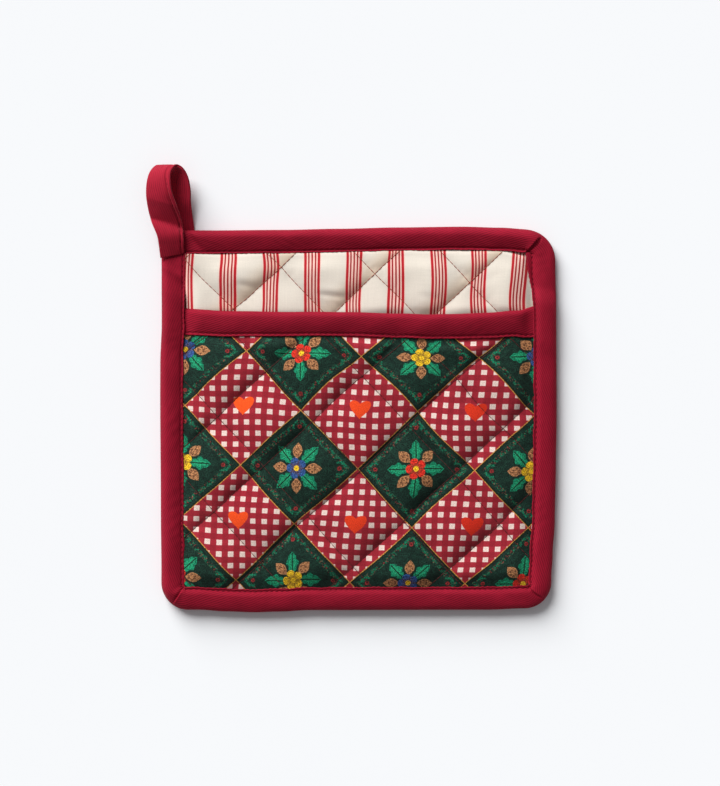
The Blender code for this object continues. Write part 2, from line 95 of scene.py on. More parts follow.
@dataclass(frozen=True)
class Wave:
    """How far a bound edge strays outwards: pairs of place along the edge and distance, in mm."""

    points: tuple[tuple[float, float], ...]

    def out(self, place: Array) -> Array:
        """The distance outwards at places along the edge, by smooth steps between the points.

        Args:
            place: Places along the edge, in metres.

        Returns:
            Distances outwards, in metres.
        """
        places, outs = np.array(self.points).T
        row = np.clip(np.searchsorted(places, place / MM, side="right") - 1, 0, len(places) - 2)
        share = smooth(places[row], places[row + 1], place / MM)
        return mix(outs[row], outs[row + 1], share) * MM


@dataclass(frozen=True)
class BoundSquare:
    """The bound square's outline, first straight-edged and then moved to its uneven edges."""

    half_x: float = 104.5 * MM
    half_y: float = 101.0 * MM
    top_right: float = 16.5 * MM
    top_left: float = 4 * MM
    bottom_left: float = 14.5 * MM
    bottom_right: float = 14.5 * MM
    binding: float = 12.5 * MM
    flare_width: float = 3.4 * MM
    flare_power: float = 2.2
    flare_x: tuple[float, float] = (70 * MM, 92 * MM)
    flare_y: tuple[float, float] = (44 * MM, 91 * MM)
    top: Wave = Wave(((-80, -1.1), (-40, -0.8), (-10, -0.2), (20, 0.5), (55, 0.9), (75, 0.4), (92, -0.6)))
    bottom: Wave = Wave(((-84, 0.6), (-70, 1.5), (-55, 1.95), (-41, 1.6), (-25, 0.8), (70, 0.6), (90, -0.1)))
    left: Wave = Wave(((-80, 0.1), (-50, 0.4), (15, 0.75), (30, 0.7), (52, -0.1), (80, 0.0)))
    right: Wave = Wave(((-84, -1.9), (-72, -1.2), (-55, -0.1), (-25, 0.5), (0, 0.9), (60, 0.65), (84, 0.2)))

    def radius(self, x: Array, y: Array) -> Array:
        """The corner radius of the quarter of the square in which each point lies."""
        upper = np.where(x > 0, self.top_right, self.top_left)
        lower = np.where(x > 0, self.bottom_right, self.bottom_left)
        return np.where(y > 0, upper, lower)

    def flare(self, x: Array, y: Array) -> Array:
        """How far the right binding widens towards its top: a power of one smooth step, times another."""
        return self.flare_width * smooth(*self.flare_y, y) ** self.flare_power * smooth(*self.flare_x, x)

    def inside(self, x: Array, y: Array) -> Array:
        """How far each point lies inside the rounded outline: the radius less the way to its arc."""
        radius = self.radius(x, y)
        dx = np.abs(x) - (self.half_x - radius)
        dy = np.abs(y) - (self.half_y - radius)
        outside = np.hypot(np.maximum(dx, 0), np.maximum(dy, 0))
        return radius - outside - np.minimum(np.maximum(dx, dy), 0)

    def uneven(self, x: Array, y: Array) -> tuple[Array, Array]:
        """Points of the straight-edged square, moved to where the uneven edges put them.

        Args:
            x: Places across, in metres.
            y: Places along, in metres.

        Returns:
            The moved places across and along. Each edge's straying fades by a smooth step over
            the whole square.
        """
        across = smooth(-self.half_x, self.half_x, x)
        along = smooth(-self.half_y, self.half_y, y)
        dx = mix(-self.left.out(y), self.right.out(y), across)
        dy = mix(-self.bottom.out(x), self.top.out(x), along)
        return x + dx, y + dy


@dataclass(frozen=True)
class Stack:
    """Heights of the layers that the binding holds, and the corner under and over the loop."""

    tape: float = 0.8 * MM
    gap: float = 0.3 * MM
    body_rim: float = 3.1 * MM
    pocket_rim: float = 2.0 * MM
    mouth_tape: float = 0.6 * MM
    mouth_rim: float = 1.2 * MM
    loop_lift: float = 1.5 * MM
    lift_x: tuple[float, float] = (-86 * MM, -76 * MM)
    lift_y: tuple[float, float] = (78 * MM, 86.5 * MM)
    cover_x: tuple[float, float] = (-91.4 * MM, -88.4 * MM)
    cover_y: tuple[float, float] = (82.4 * MM, 85.9 * MM)

    @property
    def body_bottom(self) -> float:
        """The body pad's underside within the binding."""
        return self.tape + self.gap

    @property
    def body_top(self) -> float:
        """The body pad's top within the binding."""
        return self.body_bottom + self.body_rim

    @property
    def pocket_bottom(self) -> float:
        """The pocket pad's underside within the binding."""
        return self.body_top + self.gap

    @property
    def pocket_top(self) -> float:
        """The pocket pad's top within the binding."""
        return self.pocket_bottom + self.pocket_rim

    @property
    def mouth_top(self) -> float:
        """The top of the mouth tape where the side binding holds its end."""
        return self.pocket_bottom + 2 * (self.mouth_tape + self.gap) + self.mouth_rim

    def lifted(self, x: Array, y: Array) -> Array:
        """1 over the loop's rear end and 0 away from it."""
        return (1 - smooth(*self.lift_x, x)) * smooth(*self.lift_y, y)

    def covered(self, x: Array, y: Array) -> Array:
        """1 under the loop's front end and 0 away from it."""
        return (1 - smooth(*self.cover_x, x)) * smooth(*self.cover_y, y)


@dataclass(frozen=True)
class SeamFamily:
    """Parallel quilting seams: their angle, their spacing along X, and a point that one crosses.

    Lean is how far the wadding between two seams is pushed over towards the lower right one.
    """

    angle: float
    spacing_x: float
    cross: tuple[float, float]
    lean: float = 0.0

    @property
    def normal(self) -> Array:
        """The unit vector across the seams."""
        turn = math.radians(self.angle)
        return np.array((math.sin(turn), -math.cos(turn)))

    @property
    def along(self) -> Array:
        """The unit vector along the seams."""
        turn = math.radians(self.angle)
        return np.array((math.cos(turn), math.sin(turn)))

    @property
    def spacing(self) -> float:
        """The distance from one seam to the next."""
        return self.spacing_x * abs(self.normal[0])

    def count(self, x: Array, y: Array) -> Array:
        """How many spacings each point lies from the seam through cross."""
        return ((x - self.cross[0]) * self.normal[0] + (y - self.cross[1]) * self.normal[1]) / self.spacing

    def distance(self, x: Array, y: Array) -> Array:
        """The distance from each point to the nearest seam."""
        count = self.count(x, y)
        return np.abs(count - np.round(count)) * self.spacing

    def leaning_distance(self, x: Array, y: Array) -> Array:
        """The distance to the nearest seam, with the share between two seams bent by a parabola."""
        share = self.count(x, y) % 1.0
        share = share - self.lean * share * (1 - share)
        return np.minimum(share, 1 - share) * self.spacing


@dataclass(frozen=True)
class Quilt:
    """Two crossing families of seams, and the wadding that swells between them."""

    families: tuple[SeamFamily, SeamFamily]
    steepness: float = 4.5 * MM
    roundness: float = 0.4
    pucker: float = 0.16 * MM
    pucker_length: float = 4.4 * MM
    pucker_reach: float = 3.2 * MM
    pucker_start: float = 0.8 * MM
    cuts: int = 30
    evenness: float = 0.42

    def puff(self, x: Array, y: Array) -> Array:
        """0 on every seam and 1 in the middle of each diamond.

        Each family gives a share of 1 - exp(-distance / steepness), mixed with a sine arch, and
        the two shares are multiplied.
        """
        height = np.ones(np.broadcast(x, y).shape)
        for seams in self.families:
            distance, half = seams.leaning_distance(x, y), seams.spacing / 2
            steep = (1 - np.exp(-distance / self.steepness)) / (1 - math.exp(-half / self.steepness))
            height = height * mix(steep, np.sin(math.pi / 2 * distance / half), self.roundness)
        return height

    def puckers(self, x: Array, y: Array, seed: int) -> Array:
        """Small folds that run off the seams: sines along each seam, fading away from it."""
        relief = np.zeros(np.broadcast(x, y).shape)
        for number, seams in enumerate(self.families):
            along = x * seams.along[0] + y * seams.along[1]
            wander = 1.6 * ripples(x, y, 18 * MM, seed + number)
            distance = seams.distance(x, y)
            fade = np.exp(-distance / self.pucker_reach) * smooth(0, self.pucker_start, distance)
            strength = 0.55 + 0.45 * ripples(x, y, 23 * MM, seed + 7 + number)
            relief += self.pucker * strength * fade * np.sin(math.tau * along / self.pucker_length + wander)
        return relief

    def places(self, reach: float) -> tuple[Array, Array]:
        """A grid whose lines run along the seams, closer together beside them.

        Args:
            reach: How far from the middle the grid has to reach.

        Returns:
            The grid's places across and along. Between two seams the lines stand at a mix of
            even shares and the shares of a cosine.
        """
        even = np.arange(self.cuts) / self.cuts
        shares = mix((1 - np.cos(math.pi * even)) / 2, even, self.evenness)
        counts = []
        for seams in self.families:
            span = int(reach / seams.spacing) + 2
            counts.append((np.arange(-span, span)[:, None] + shares).ravel())
        first, second = np.meshgrid(*counts, indexing="ij")
        across = np.array([seams.normal for seams in self.families])
        offsets = [
            value * seams.spacing + seams.normal @ np.array(seams.cross)
            for value, seams in zip((first, second), self.families)
        ]
        x, y = np.einsum("ab,bij->aij", np.linalg.inv(across), np.array(offsets))
        return x, y

    def lines(self, reach: float, step: float = 0.6 * MM) -> list[Array]:
        """Every seam as a row of flat points a step apart, out to a reach from the middle."""
        run = np.arange(-reach, reach, step)
        found = []
        for seams in self.families:
            span = int(reach / seams.spacing) + 2
            for turn in range(-span, span):
                start = np.array(seams.cross) + seams.normal * turn * seams.spacing
                start = start - seams.along * (start @ seams.along)
                found.append(start + run[:, None] * seams.along)
        return found


SQUARE = BoundSquare()
STACK = Stack()
BOW_MIDDLE = 12


# --- Meshes ---


def signed_volume(points: Array, faces: list[Array]) -> float:
    """The volume within closed faces, negative where they face inwards.

    Args:
        points: Places, one row each.
        faces: Arrays of point numbers, one row for each face.

    Returns:
        The sum over each face's fan of triangles of a sixth of their triple product.
    """
    total = 0.0
    for group in faces:
        first = points[group[:, 0]]
        for corner in range(1, group.shape[1] - 1):
            cross = np.cross(points[group[:, corner]], points[group[:, corner + 1]])
            total += float(np.einsum("ij,ij->", first, cross)) / 6
    return total


def put(name: str, data: bpy.types.ID) -> Piece:
    """Adds a new object to the scene, at the origin."""
    piece = bpy.data.objects.new(name, data)
    bpy.context.scene.collection.objects.link(piece)
    return piece


def lay_mesh(name: str, points: Array, faces: list[Array], flat: list[Array] | None = None) -> Piece:
    """Makes one closed, smooth-shaded piece from arrays, with its faces turned outwards.

    Args:
        name: The piece's name.
        points: Places in metres, one row each.
        faces: Arrays of point numbers, one row for each face.
        flat: For each array of faces, the flat-cloth place of each corner, in metres.

    Returns:
        The new object, at the origin.
    """
    if signed_volume(points, faces) < 0:
        faces = [group[:, ::-1] for group in faces]
        flat = None if flat is None else [group[:, ::-1] for group in flat]
    corners = np.concatenate([group.ravel() for group in faces])
    totals = np.concatenate([np.full(len(group), group.shape[1]) for group in faces])
    mesh = bpy.data.meshes.new(name)
    mesh.vertices.add(len(points))
    mesh.vertices.foreach_set("co", points.astype(np.float32).ravel())
    mesh.loops.add(len(corners))
    mesh.loops.foreach_set("vertex_index", corners.astype(np.int32))
    mesh.polygons.add(len(totals))
    mesh.polygons.foreach_set("loop_start", np.concatenate(([0], np.cumsum(totals)[:-1])).astype(np.int32))
    mesh.polygons.foreach_set("loop_total", totals.astype(np.int32))
    if flat is not None:
        layer = mesh.uv_layers.new(name=FLAT_MAP)
        places = np.concatenate([group.reshape(-1, 2) for group in flat])
        layer.data.foreach_set("uv", places.astype(np.float32).ravel())
    mesh.update(calc_edges=True)
    mesh.validate()
    mesh.shade_smooth()
    return put(name, mesh)


def sweep(name: str, points: Array, flat: Array, closed: bool) -> Piece:
    """Makes a piece from sections in a row, each a closed ring of equally many points.

    Args:
        name: The piece's name.
        points: Places, as section, point of the ring, and X, Y and Z.
        flat: The flat-cloth place of each point, with one ring point more for the way round, and
            one section more where the row is closed.
        closed: Whether the last section joins the first. An open row is capped by quads between
            the two halves of its first and last rings.

    Returns:
        The new object.
    """
    rows, ring = points.shape[:2]
    row, column = np.meshgrid(np.arange(rows - (not closed)), np.arange(ring), indexing="ij")
    corner_rows = np.stack([row, row, row + 1, row + 1], axis=-1).reshape(-1, 4)
    corner_columns = np.stack([column, column + 1, column + 1, column], axis=-1).reshape(-1, 4)
    faces = [corner_rows % rows * ring + corner_columns % ring]
    places = [flat[corner_rows, corner_columns]]
    if not closed:
        half = np.arange(ring // 2 - 1)
        for end, order in ((0, 1), (rows - 1, -1)):
            cap = np.stack([half, half + 1, ring - 2 - half, ring - 1 - half], axis=-1)[:, ::order]
            faces.append(cap[:, ::-1] + end * ring)
            places.append(flat[end, cap[:, ::-1]])
    return lay_mesh(name, points.reshape(-1, 3), faces, places)


def tubes(centres: Array, radii: Array, sides: int) -> tuple[Array, list[Array]]:
    """Short round tubes with flat ends, one for each stitch.

    Args:
        centres: Places along each tube, as tube, place, and X, Y and Z.
        radii: The tube's radius at each place.
        sides: How many sides each tube has.

    Returns:
        Points and faces. A tube's rings stand square to the way between their neighbours.
    """
    forward = np.gradient(centres, axis=1)
    forward /= np.linalg.norm(forward, axis=2, keepdims=True)
    side = np.cross(forward, (0.0, 0.0, 1.0))
    side /= np.maximum(np.linalg.norm(side, axis=2, keepdims=True), 1e-9)
    up = np.cross(side, forward)
    turn = np.arange(sides) * math.tau / sides
    ring = np.cos(turn)[:, None] * side[:, :, None] + np.sin(turn)[:, None] * up[:, :, None]
    points = centres[:, :, None] + ring * radii[None, :, None, None]
    count, rings = centres.shape[:2]
    start = (np.arange(count) * rings * sides)[:, None, None]
    place = np.arange(rings - 1)[None, :, None] * sides
    corner = np.arange(sides)[None, None]
    after = (corner + 1) % sides
    near, far = start + place, start + place + sides
    quads = np.stack([near + corner, near + after, far + after, far + corner], axis=-1)
    first = start[:, 0] + np.arange(sides)[::-1]
    last = start[:, 0] + (rings - 1) * sides + np.arange(sides)
    return points.reshape(-1, 3), [quads.reshape(-1, 4), np.concatenate([first, last])]


@dataclass(frozen=True)
class Sewing:
    """A row of machine stitches: each thread shows for a share of the pitch and dips at its ends."""

    pitch: float
    shown: float = 0.74
    radius: float = 0.24 * MM
    proud: float = 0.18 * MM
    dip: float = 0.3 * MM
    rings: int = 7
    sides: int = 6

    def stitches(self, path: Array) -> Array:
        """The centre lines of the stitches along one path.

        Args:
            path: Places along the seam, one row each.

        Returns:
            Places as stitch, ring, and X, Y and Z. Between its ends a stitch rises from dip
            below the path to proud above it, by a smooth step.
        """
        lengths = np.concatenate(([0], np.cumsum(np.linalg.norm(np.diff(path, axis=0), axis=1))))
        count = int(lengths[-1] / self.pitch)
        if count < 1:
            return np.zeros((0, self.rings, 3))
        share = np.linspace(0, 1, self.rings)
        places = (np.arange(count)[:, None] + (1 - self.shown) / 2 + self.shown * share) * lengths[-1] / count
        centres = np.stack([np.interp(places, lengths, path[:, axis]) for axis in range(3)], axis=-1)
        end = np.minimum(share, 1 - share)
        centres[:, :, 2] += mix(-self.dip, self.proud, smooth(0, 0.3, end))
        return centres

    def sew(self, name: str, paths: list[Array]) -> Piece:
        """Joins the stitches along several paths into one piece.

        Args:
            name: The piece's name.
            paths: Rows of places, one for each seam.

        Returns:
            The new object.
        """
        centres = np.concatenate([self.stitches(path) for path in paths])
        share = np.linspace(0, 1, self.rings)
        radii = self.radius * mix(0.45, 1.0, smooth(0, 0.22, np.minimum(share, 1 - share)))
        points, faces = tubes(centres, radii, self.sides)
        return lay_mesh(name, points, faces)


# --- Shader maths ---


def srgb(red: int, green: int, blue: int) -> Colour:
    """A screen colour from 0 to 255, as the linear light that shaders use."""
    shares = [value / 255 for value in (red, green, blue)]
    return tuple(s / 12.92 if s <= 0.04045 else ((s + 0.055) / 1.055) ** 2.4 for s in shares)


class Value:
    """A number that varies over a surface. Python's operators on it add Math nodes."""

    def __init__(self, graph: "Graph", socket: Socket) -> None:
        """Wraps one output socket of a graph."""
        self.graph = graph
        self.socket = socket

    def math(self, operation: str, *others: "Value | float") -> "Value":
        """The result of one Math node on this value and up to two others."""
        return self.graph.math(operation, self, *others)

    def __add__(self, other: "Value | float") -> "Value":
        """The sum."""
        return self.math("ADD", other)

    def __sub__(self, other: "Value | float") -> "Value":
        """The difference."""
        return self.math("SUBTRACT", other)

    def __rsub__(self, other: float) -> "Value":
        """A number less this value."""
        return self.graph.math("SUBTRACT", other, self)

    def __mul__(self, other: "Value | float") -> "Value":
        """The product."""
        return self.math("MULTIPLY", other)

    def __truediv__(self, other: "Value | float") -> "Value":
        """The quotient."""
        return self.math("DIVIDE", other)

    def __pow__(self, other: "Value | float") -> "Value":
        """The power."""
        return self.math("POWER", other)

    def __mod__(self, other: "Value | float") -> "Value":
        """The rest after division, never negative."""
        return self.math("FLOORED_MODULO", other)

    def __abs__(self) -> "Value":
        """The size without its sign."""
        return self.math("ABSOLUTE")

    __radd__ = __add__
    __rmul__ = __mul__

    def floor(self) -> "Value":
        """The whole number below."""
        return self.math("FLOOR")

    def fract(self) -> "Value":
        """The share above the whole number below."""
        return self.math("FRACT")

    def sine(self) -> "Value":
        """The sine of this value in radians."""
        return self.math("SINE")

    def least(self, other: "Value | float") -> "Value":
        """The smaller of two values."""
        return self.math("MINIMUM", other)

    def most(self, other: "Value | float") -> "Value":
        """The larger of two values."""
        return self.math("MAXIMUM", other)

    def from_whole(self) -> "Value":
        """The distance to the nearest whole number."""
        return abs((self + 0.5).fract() - 0.5)

    def step(self, low: float, high: float) -> "Value":
        """A smooth step from 0 at low to 1 at high, or the other way where low is the larger."""
        rising = low < high
        ends = {"From Min": min(low, high), "From Max": max(low, high)}
        turned = {"To Min": 0.0 if rising else 1.0, "To Max": 1.0 if rising else 0.0}
        made = self.graph.node(
            "ShaderNodeMapRange", {"interpolation_type": "SMOOTHSTEP"}, {"Value": self, **ends, **turned}
        )
        return Value(self.graph, made.outputs["Result"])


Link = Value | Socket | float | tuple


class Graph:
    """One material's node tree."""

    def __init__(self, name: str) -> None:
        """Starts a material with its Principled shader."""
        self.material = bpy.data.materials.new(name)
        self.material.use_nodes = True
        self.tree = self.material.node_tree
        self.shader = self.tree.nodes["Principled BSDF"]

    def node(self, kind: str, settings: dict[str, object], inputs: dict[str | int, Link]) -> bpy.types.Node:
        """Adds a node.

        Args:
            kind: Its type.
            settings: Properties of the node, set before its sockets.
            inputs: Values or links, by the name, identifier or number of the socket.

        Returns:
            The new node.
        """
        made = self.tree.nodes.new(kind)
        for name, setting in settings.items():
            setattr(made, name, setting)
        for key, link in inputs.items():
            self.feed(self.socket_of(made.inputs, key), link)
        return made

    def socket_of(self, sockets: bpy.types.bpy_prop_collection, key: str | int) -> Socket:
        """The socket with a number, an identifier or else a name."""
        if isinstance(key, int):
            return sockets[key]
        return next((s for s in sockets if s.identifier == key), None) or sockets[key]

    def feed(self, socket: Socket, link: Link) -> None:
        """Links a socket, or sets the value on it."""
        if isinstance(link, (Value, Socket)):
            self.tree.links.new(link.socket if isinstance(link, Value) else link, socket)
        elif isinstance(link, tuple) and socket.type == "RGBA":
            socket.default_value = (*link, 1.0)
        else:
            socket.default_value = link

    def math(self, operation: str, *values: Value | float) -> Value:
        """The result of a Math node."""
        made = self.node("ShaderNodeMath", {"operation": operation}, dict(enumerate(values)))
        return Value(self, made.outputs["Value"])

    def flat(self) -> tuple[Value, Value]:
        """The place on the flat cloth, in millimetres, from the piece's own map."""
        place = self.node("ShaderNodeUVMap", {"uv_map": FLAT_MAP}, {})
        parts = self.node("ShaderNodeSeparateXYZ", {}, {"Vector": place.outputs["UV"]})
        return Value(self, parts.outputs["X"]) / MM, Value(self, parts.outputs["Y"]) / MM

    def place(self) -> tuple[Value, Value, Value]:
        """The place in space, in millimetres, from Object coordinates."""
        place = self.node("ShaderNodeTexCoord", {}, {})
        parts = self.node("ShaderNodeSeparateXYZ", {}, {"Vector": place.outputs["Object"]})
        return tuple(Value(self, parts.outputs[axis]) / MM for axis in "XYZ")

    def noise(
        self, u: Value, v: Value, across: float, along: float, detail: float = 2.0, seed: float = 0.0
    ) -> Value:
        """Cloudy unevenness from 0 to 1.

        Args:
            u: The first place, in millimetres.
            v: The second place, in millimetres.
            across: The size of the clouds along u, in millimetres.
            along: Their size along v, in millimetres.
            detail: How many finer layers are added.
            seed: Which clouds are taken.

        Returns:
            The noise.
        """
        place = self.node("ShaderNodeCombineXYZ", {}, {"X": u / across, "Y": v / along, "Z": seed})
        made = self.node(
            "ShaderNodeTexNoise", {"noise_dimensions": "3D"},
            {"Vector": place.outputs["Vector"], "Scale": 1.0, "Detail": detail, "Roughness": 0.6},
        )
        return Value(self, made.outputs["Fac"])

    def blend(self, share: Value | float, a: Link, b: Link, mode: str = "MIX") -> Socket:
        """The colour a share of the way from a to b, or another of the Mix node's modes."""
        made = self.node(
            "ShaderNodeMix", {"data_type": "RGBA", "blend_type": mode, "clamp_factor": True},
            {"Factor_Float": share, "A_Color": a, "B_Color": b},
        )
        return self.socket_of(made.outputs, "Result_Color")

    def lit(self, colour: Link, brightness: Value) -> Socket:
        """A colour made lighter or darker by a factor."""
        grey = self.node("ShaderNodeCombineColor", {}, {0: brightness, 1: brightness, 2: brightness})
        return self.blend(1.0, colour, grey.outputs["Color"], "MULTIPLY")

    def finish(self, colour: Link, relief: Value | float, roughness: float, **constants: Link) -> Material:
        """Feeds the shader.

        Args:
            colour: The base colour.
            relief: The height of the fine surface, in millimetres.
            roughness: The roughness.
            constants: Other sockets' values, with _ for a space in their names.

        Returns:
            The material.
        """
        bump = self.node("ShaderNodeBump", {}, {"Height": relief * MM, "Distance": 1.0, "Strength": 1.0})
        self.feed(self.shader.inputs["Base Color"], colour)
        self.feed(self.shader.inputs["Roughness"], roughness)
        self.feed(self.shader.inputs["Normal"], bump.outputs["Normal"])
        for name, constant in constants.items():
            self.feed(self.shader.inputs[name.replace("_", " ")], constant)
        return self.material


# --- Finishes ---


def seam_share(u: Value, v: Value, seams: SeamFamily) -> Value:
    """The share of the way from one quilting seam to the next, at flat places in millimetres."""
    cross_u, cross_v = (place / MM for place in seams.cross)
    normal_u, normal_v = seams.normal.tolist()
    return (((u - cross_u) * normal_u + (v - cross_v) * normal_v) / (seams.spacing / MM)).fract()


@dataclass(frozen=True)
class PlainWeave:
    """Cotton cloth whose warp and weft cross one over one."""

    pitch: float = 0.46
    height: float = 0.05

    def relief(self, u: Value, v: Value) -> Value:
        """The weave's height in millimetres.

        Each thread is a sine arch across its width. Its height along its length is a raised
        cosine that is highest where it passes over, and the higher thread shows.
        """
        x, y = u / self.pitch, v / self.pitch
        warp = abs((x * math.pi).sine()) * (1 + ((y + x.floor()) * math.pi + math.pi / 2).sine())
        weft = abs((y * math.pi).sine()) * (1 + ((x + y.floor() + 1.0) * math.pi + math.pi / 2).sine())
        return warp.most(weft) * (self.height / 2)

    def streaks(self, graph: Graph, u: Value, v: Value) -> Value:
        """Lighter and darker threads, around 1."""
        warp = graph.noise(u, v, 0.5, 14.0, seed=3.0)
        weft = graph.noise(u, v, 14.0, 0.5, seed=8.0)
        fleck = graph.noise(u, v, 0.7, 0.7, seed=17.0)
        return 0.79 + (warp + weft) * 0.13 + fleck * 0.16


@dataclass(frozen=True)
class StripedCotton:
    """Cream cotton with groups of five thin red stripes, and painted shade browning the seams' unlit side."""

    seams: SeamFamily
    name: str = "striped_cotton"
    cream: Colour = srgb(216, 207, 194)
    # valley is the colour of painted shade, laid on the side of each seam away from the light.
    valley: Colour = srgb(196, 168, 138)
    outer_red: Colour = srgb(176, 22, 34)
    inner_red: Colour = srgb(148, 16, 26)
    halo: Colour = srgb(246, 156, 146)
    pitch: float = 22.2
    first: float = -91.3
    line_step: float = 1.76
    outer_half: float = 0.68
    inner_half: float = 0.4
    halo_half: float = 1.45
    edge: float = 0.14
    weave: PlainWeave = PlainWeave()

    def material(self) -> Material:
        """Builds the finish: stripes by the distance from each group's middle line."""
        graph = Graph(self.name)
        u, v = graph.flat()
        wobble = (graph.noise(u, v, 1.2, 5.0, seed=5.0) - 0.5) * 0.22
        from_group = abs((((u - self.first) / self.pitch + 0.5).fract() - 0.5) * self.pitch + wobble)
        outer = abs(from_group - 2 * self.line_step)
        inner = abs(from_group - self.line_step).least(from_group)
        near = outer.least(inner)
        # Painted shade: the cream turns browner towards each seam, on its side away from the key light.
        ground = graph.blend(seam_share(u, v, self.seams).step(0.68, 1.0) * 0.6, self.cream, self.valley)
        colour = graph.blend(near.step(self.halo_half, 0.4) * 0.55, ground, self.halo)
        lines = ((inner, self.inner_half, self.inner_red), (outer, self.outer_half, self.outer_red))
        for line, half, red in lines:
            colour = graph.blend(line.step(half + self.edge, half - self.edge), colour, red)
        cloud = 0.95 + graph.noise(u, v, 26.0, 26.0, 3.0) * 0.09
        colour = graph.lit(colour, self.weave.streaks(graph, u, v) * cloud)
        return graph.finish(
            colour, self.weave.relief(u, v), 0.88, Specular_IOR_Level=0.25, Sheen_Weight=0.12,
            Sheen_Roughness=0.5,
        )


@dataclass(frozen=True)
class Petal:
    """A leaf or petal on an axis: its start, length and half-width in mm, and scallops a side."""

    start: float
    length: float
    half: float
    lobes: int = 0

    def mask(self, along: Value, aside: Value) -> Value:
        """1 inside it. Its half-width is a sine arch, narrowed between the scallops.

        Args:
            along: The way out along the axis, in millimetres.
            aside: The distance from the axis, in millimetres.

        Returns:
            The mask.
        """
        share = (along - self.start) / self.length
        inside = share.step(-0.01, 0.01) * share.step(1.01, 0.99)
        arch = (share.most(0.0).least(1.0) * math.pi).sine() * self.half
        if self.lobes:
            arch = arch * (0.66 + abs((share * (math.pi * self.lobes)).sine()) * 0.34)
        return (aside - arch).step(0.12, -0.12) * inside


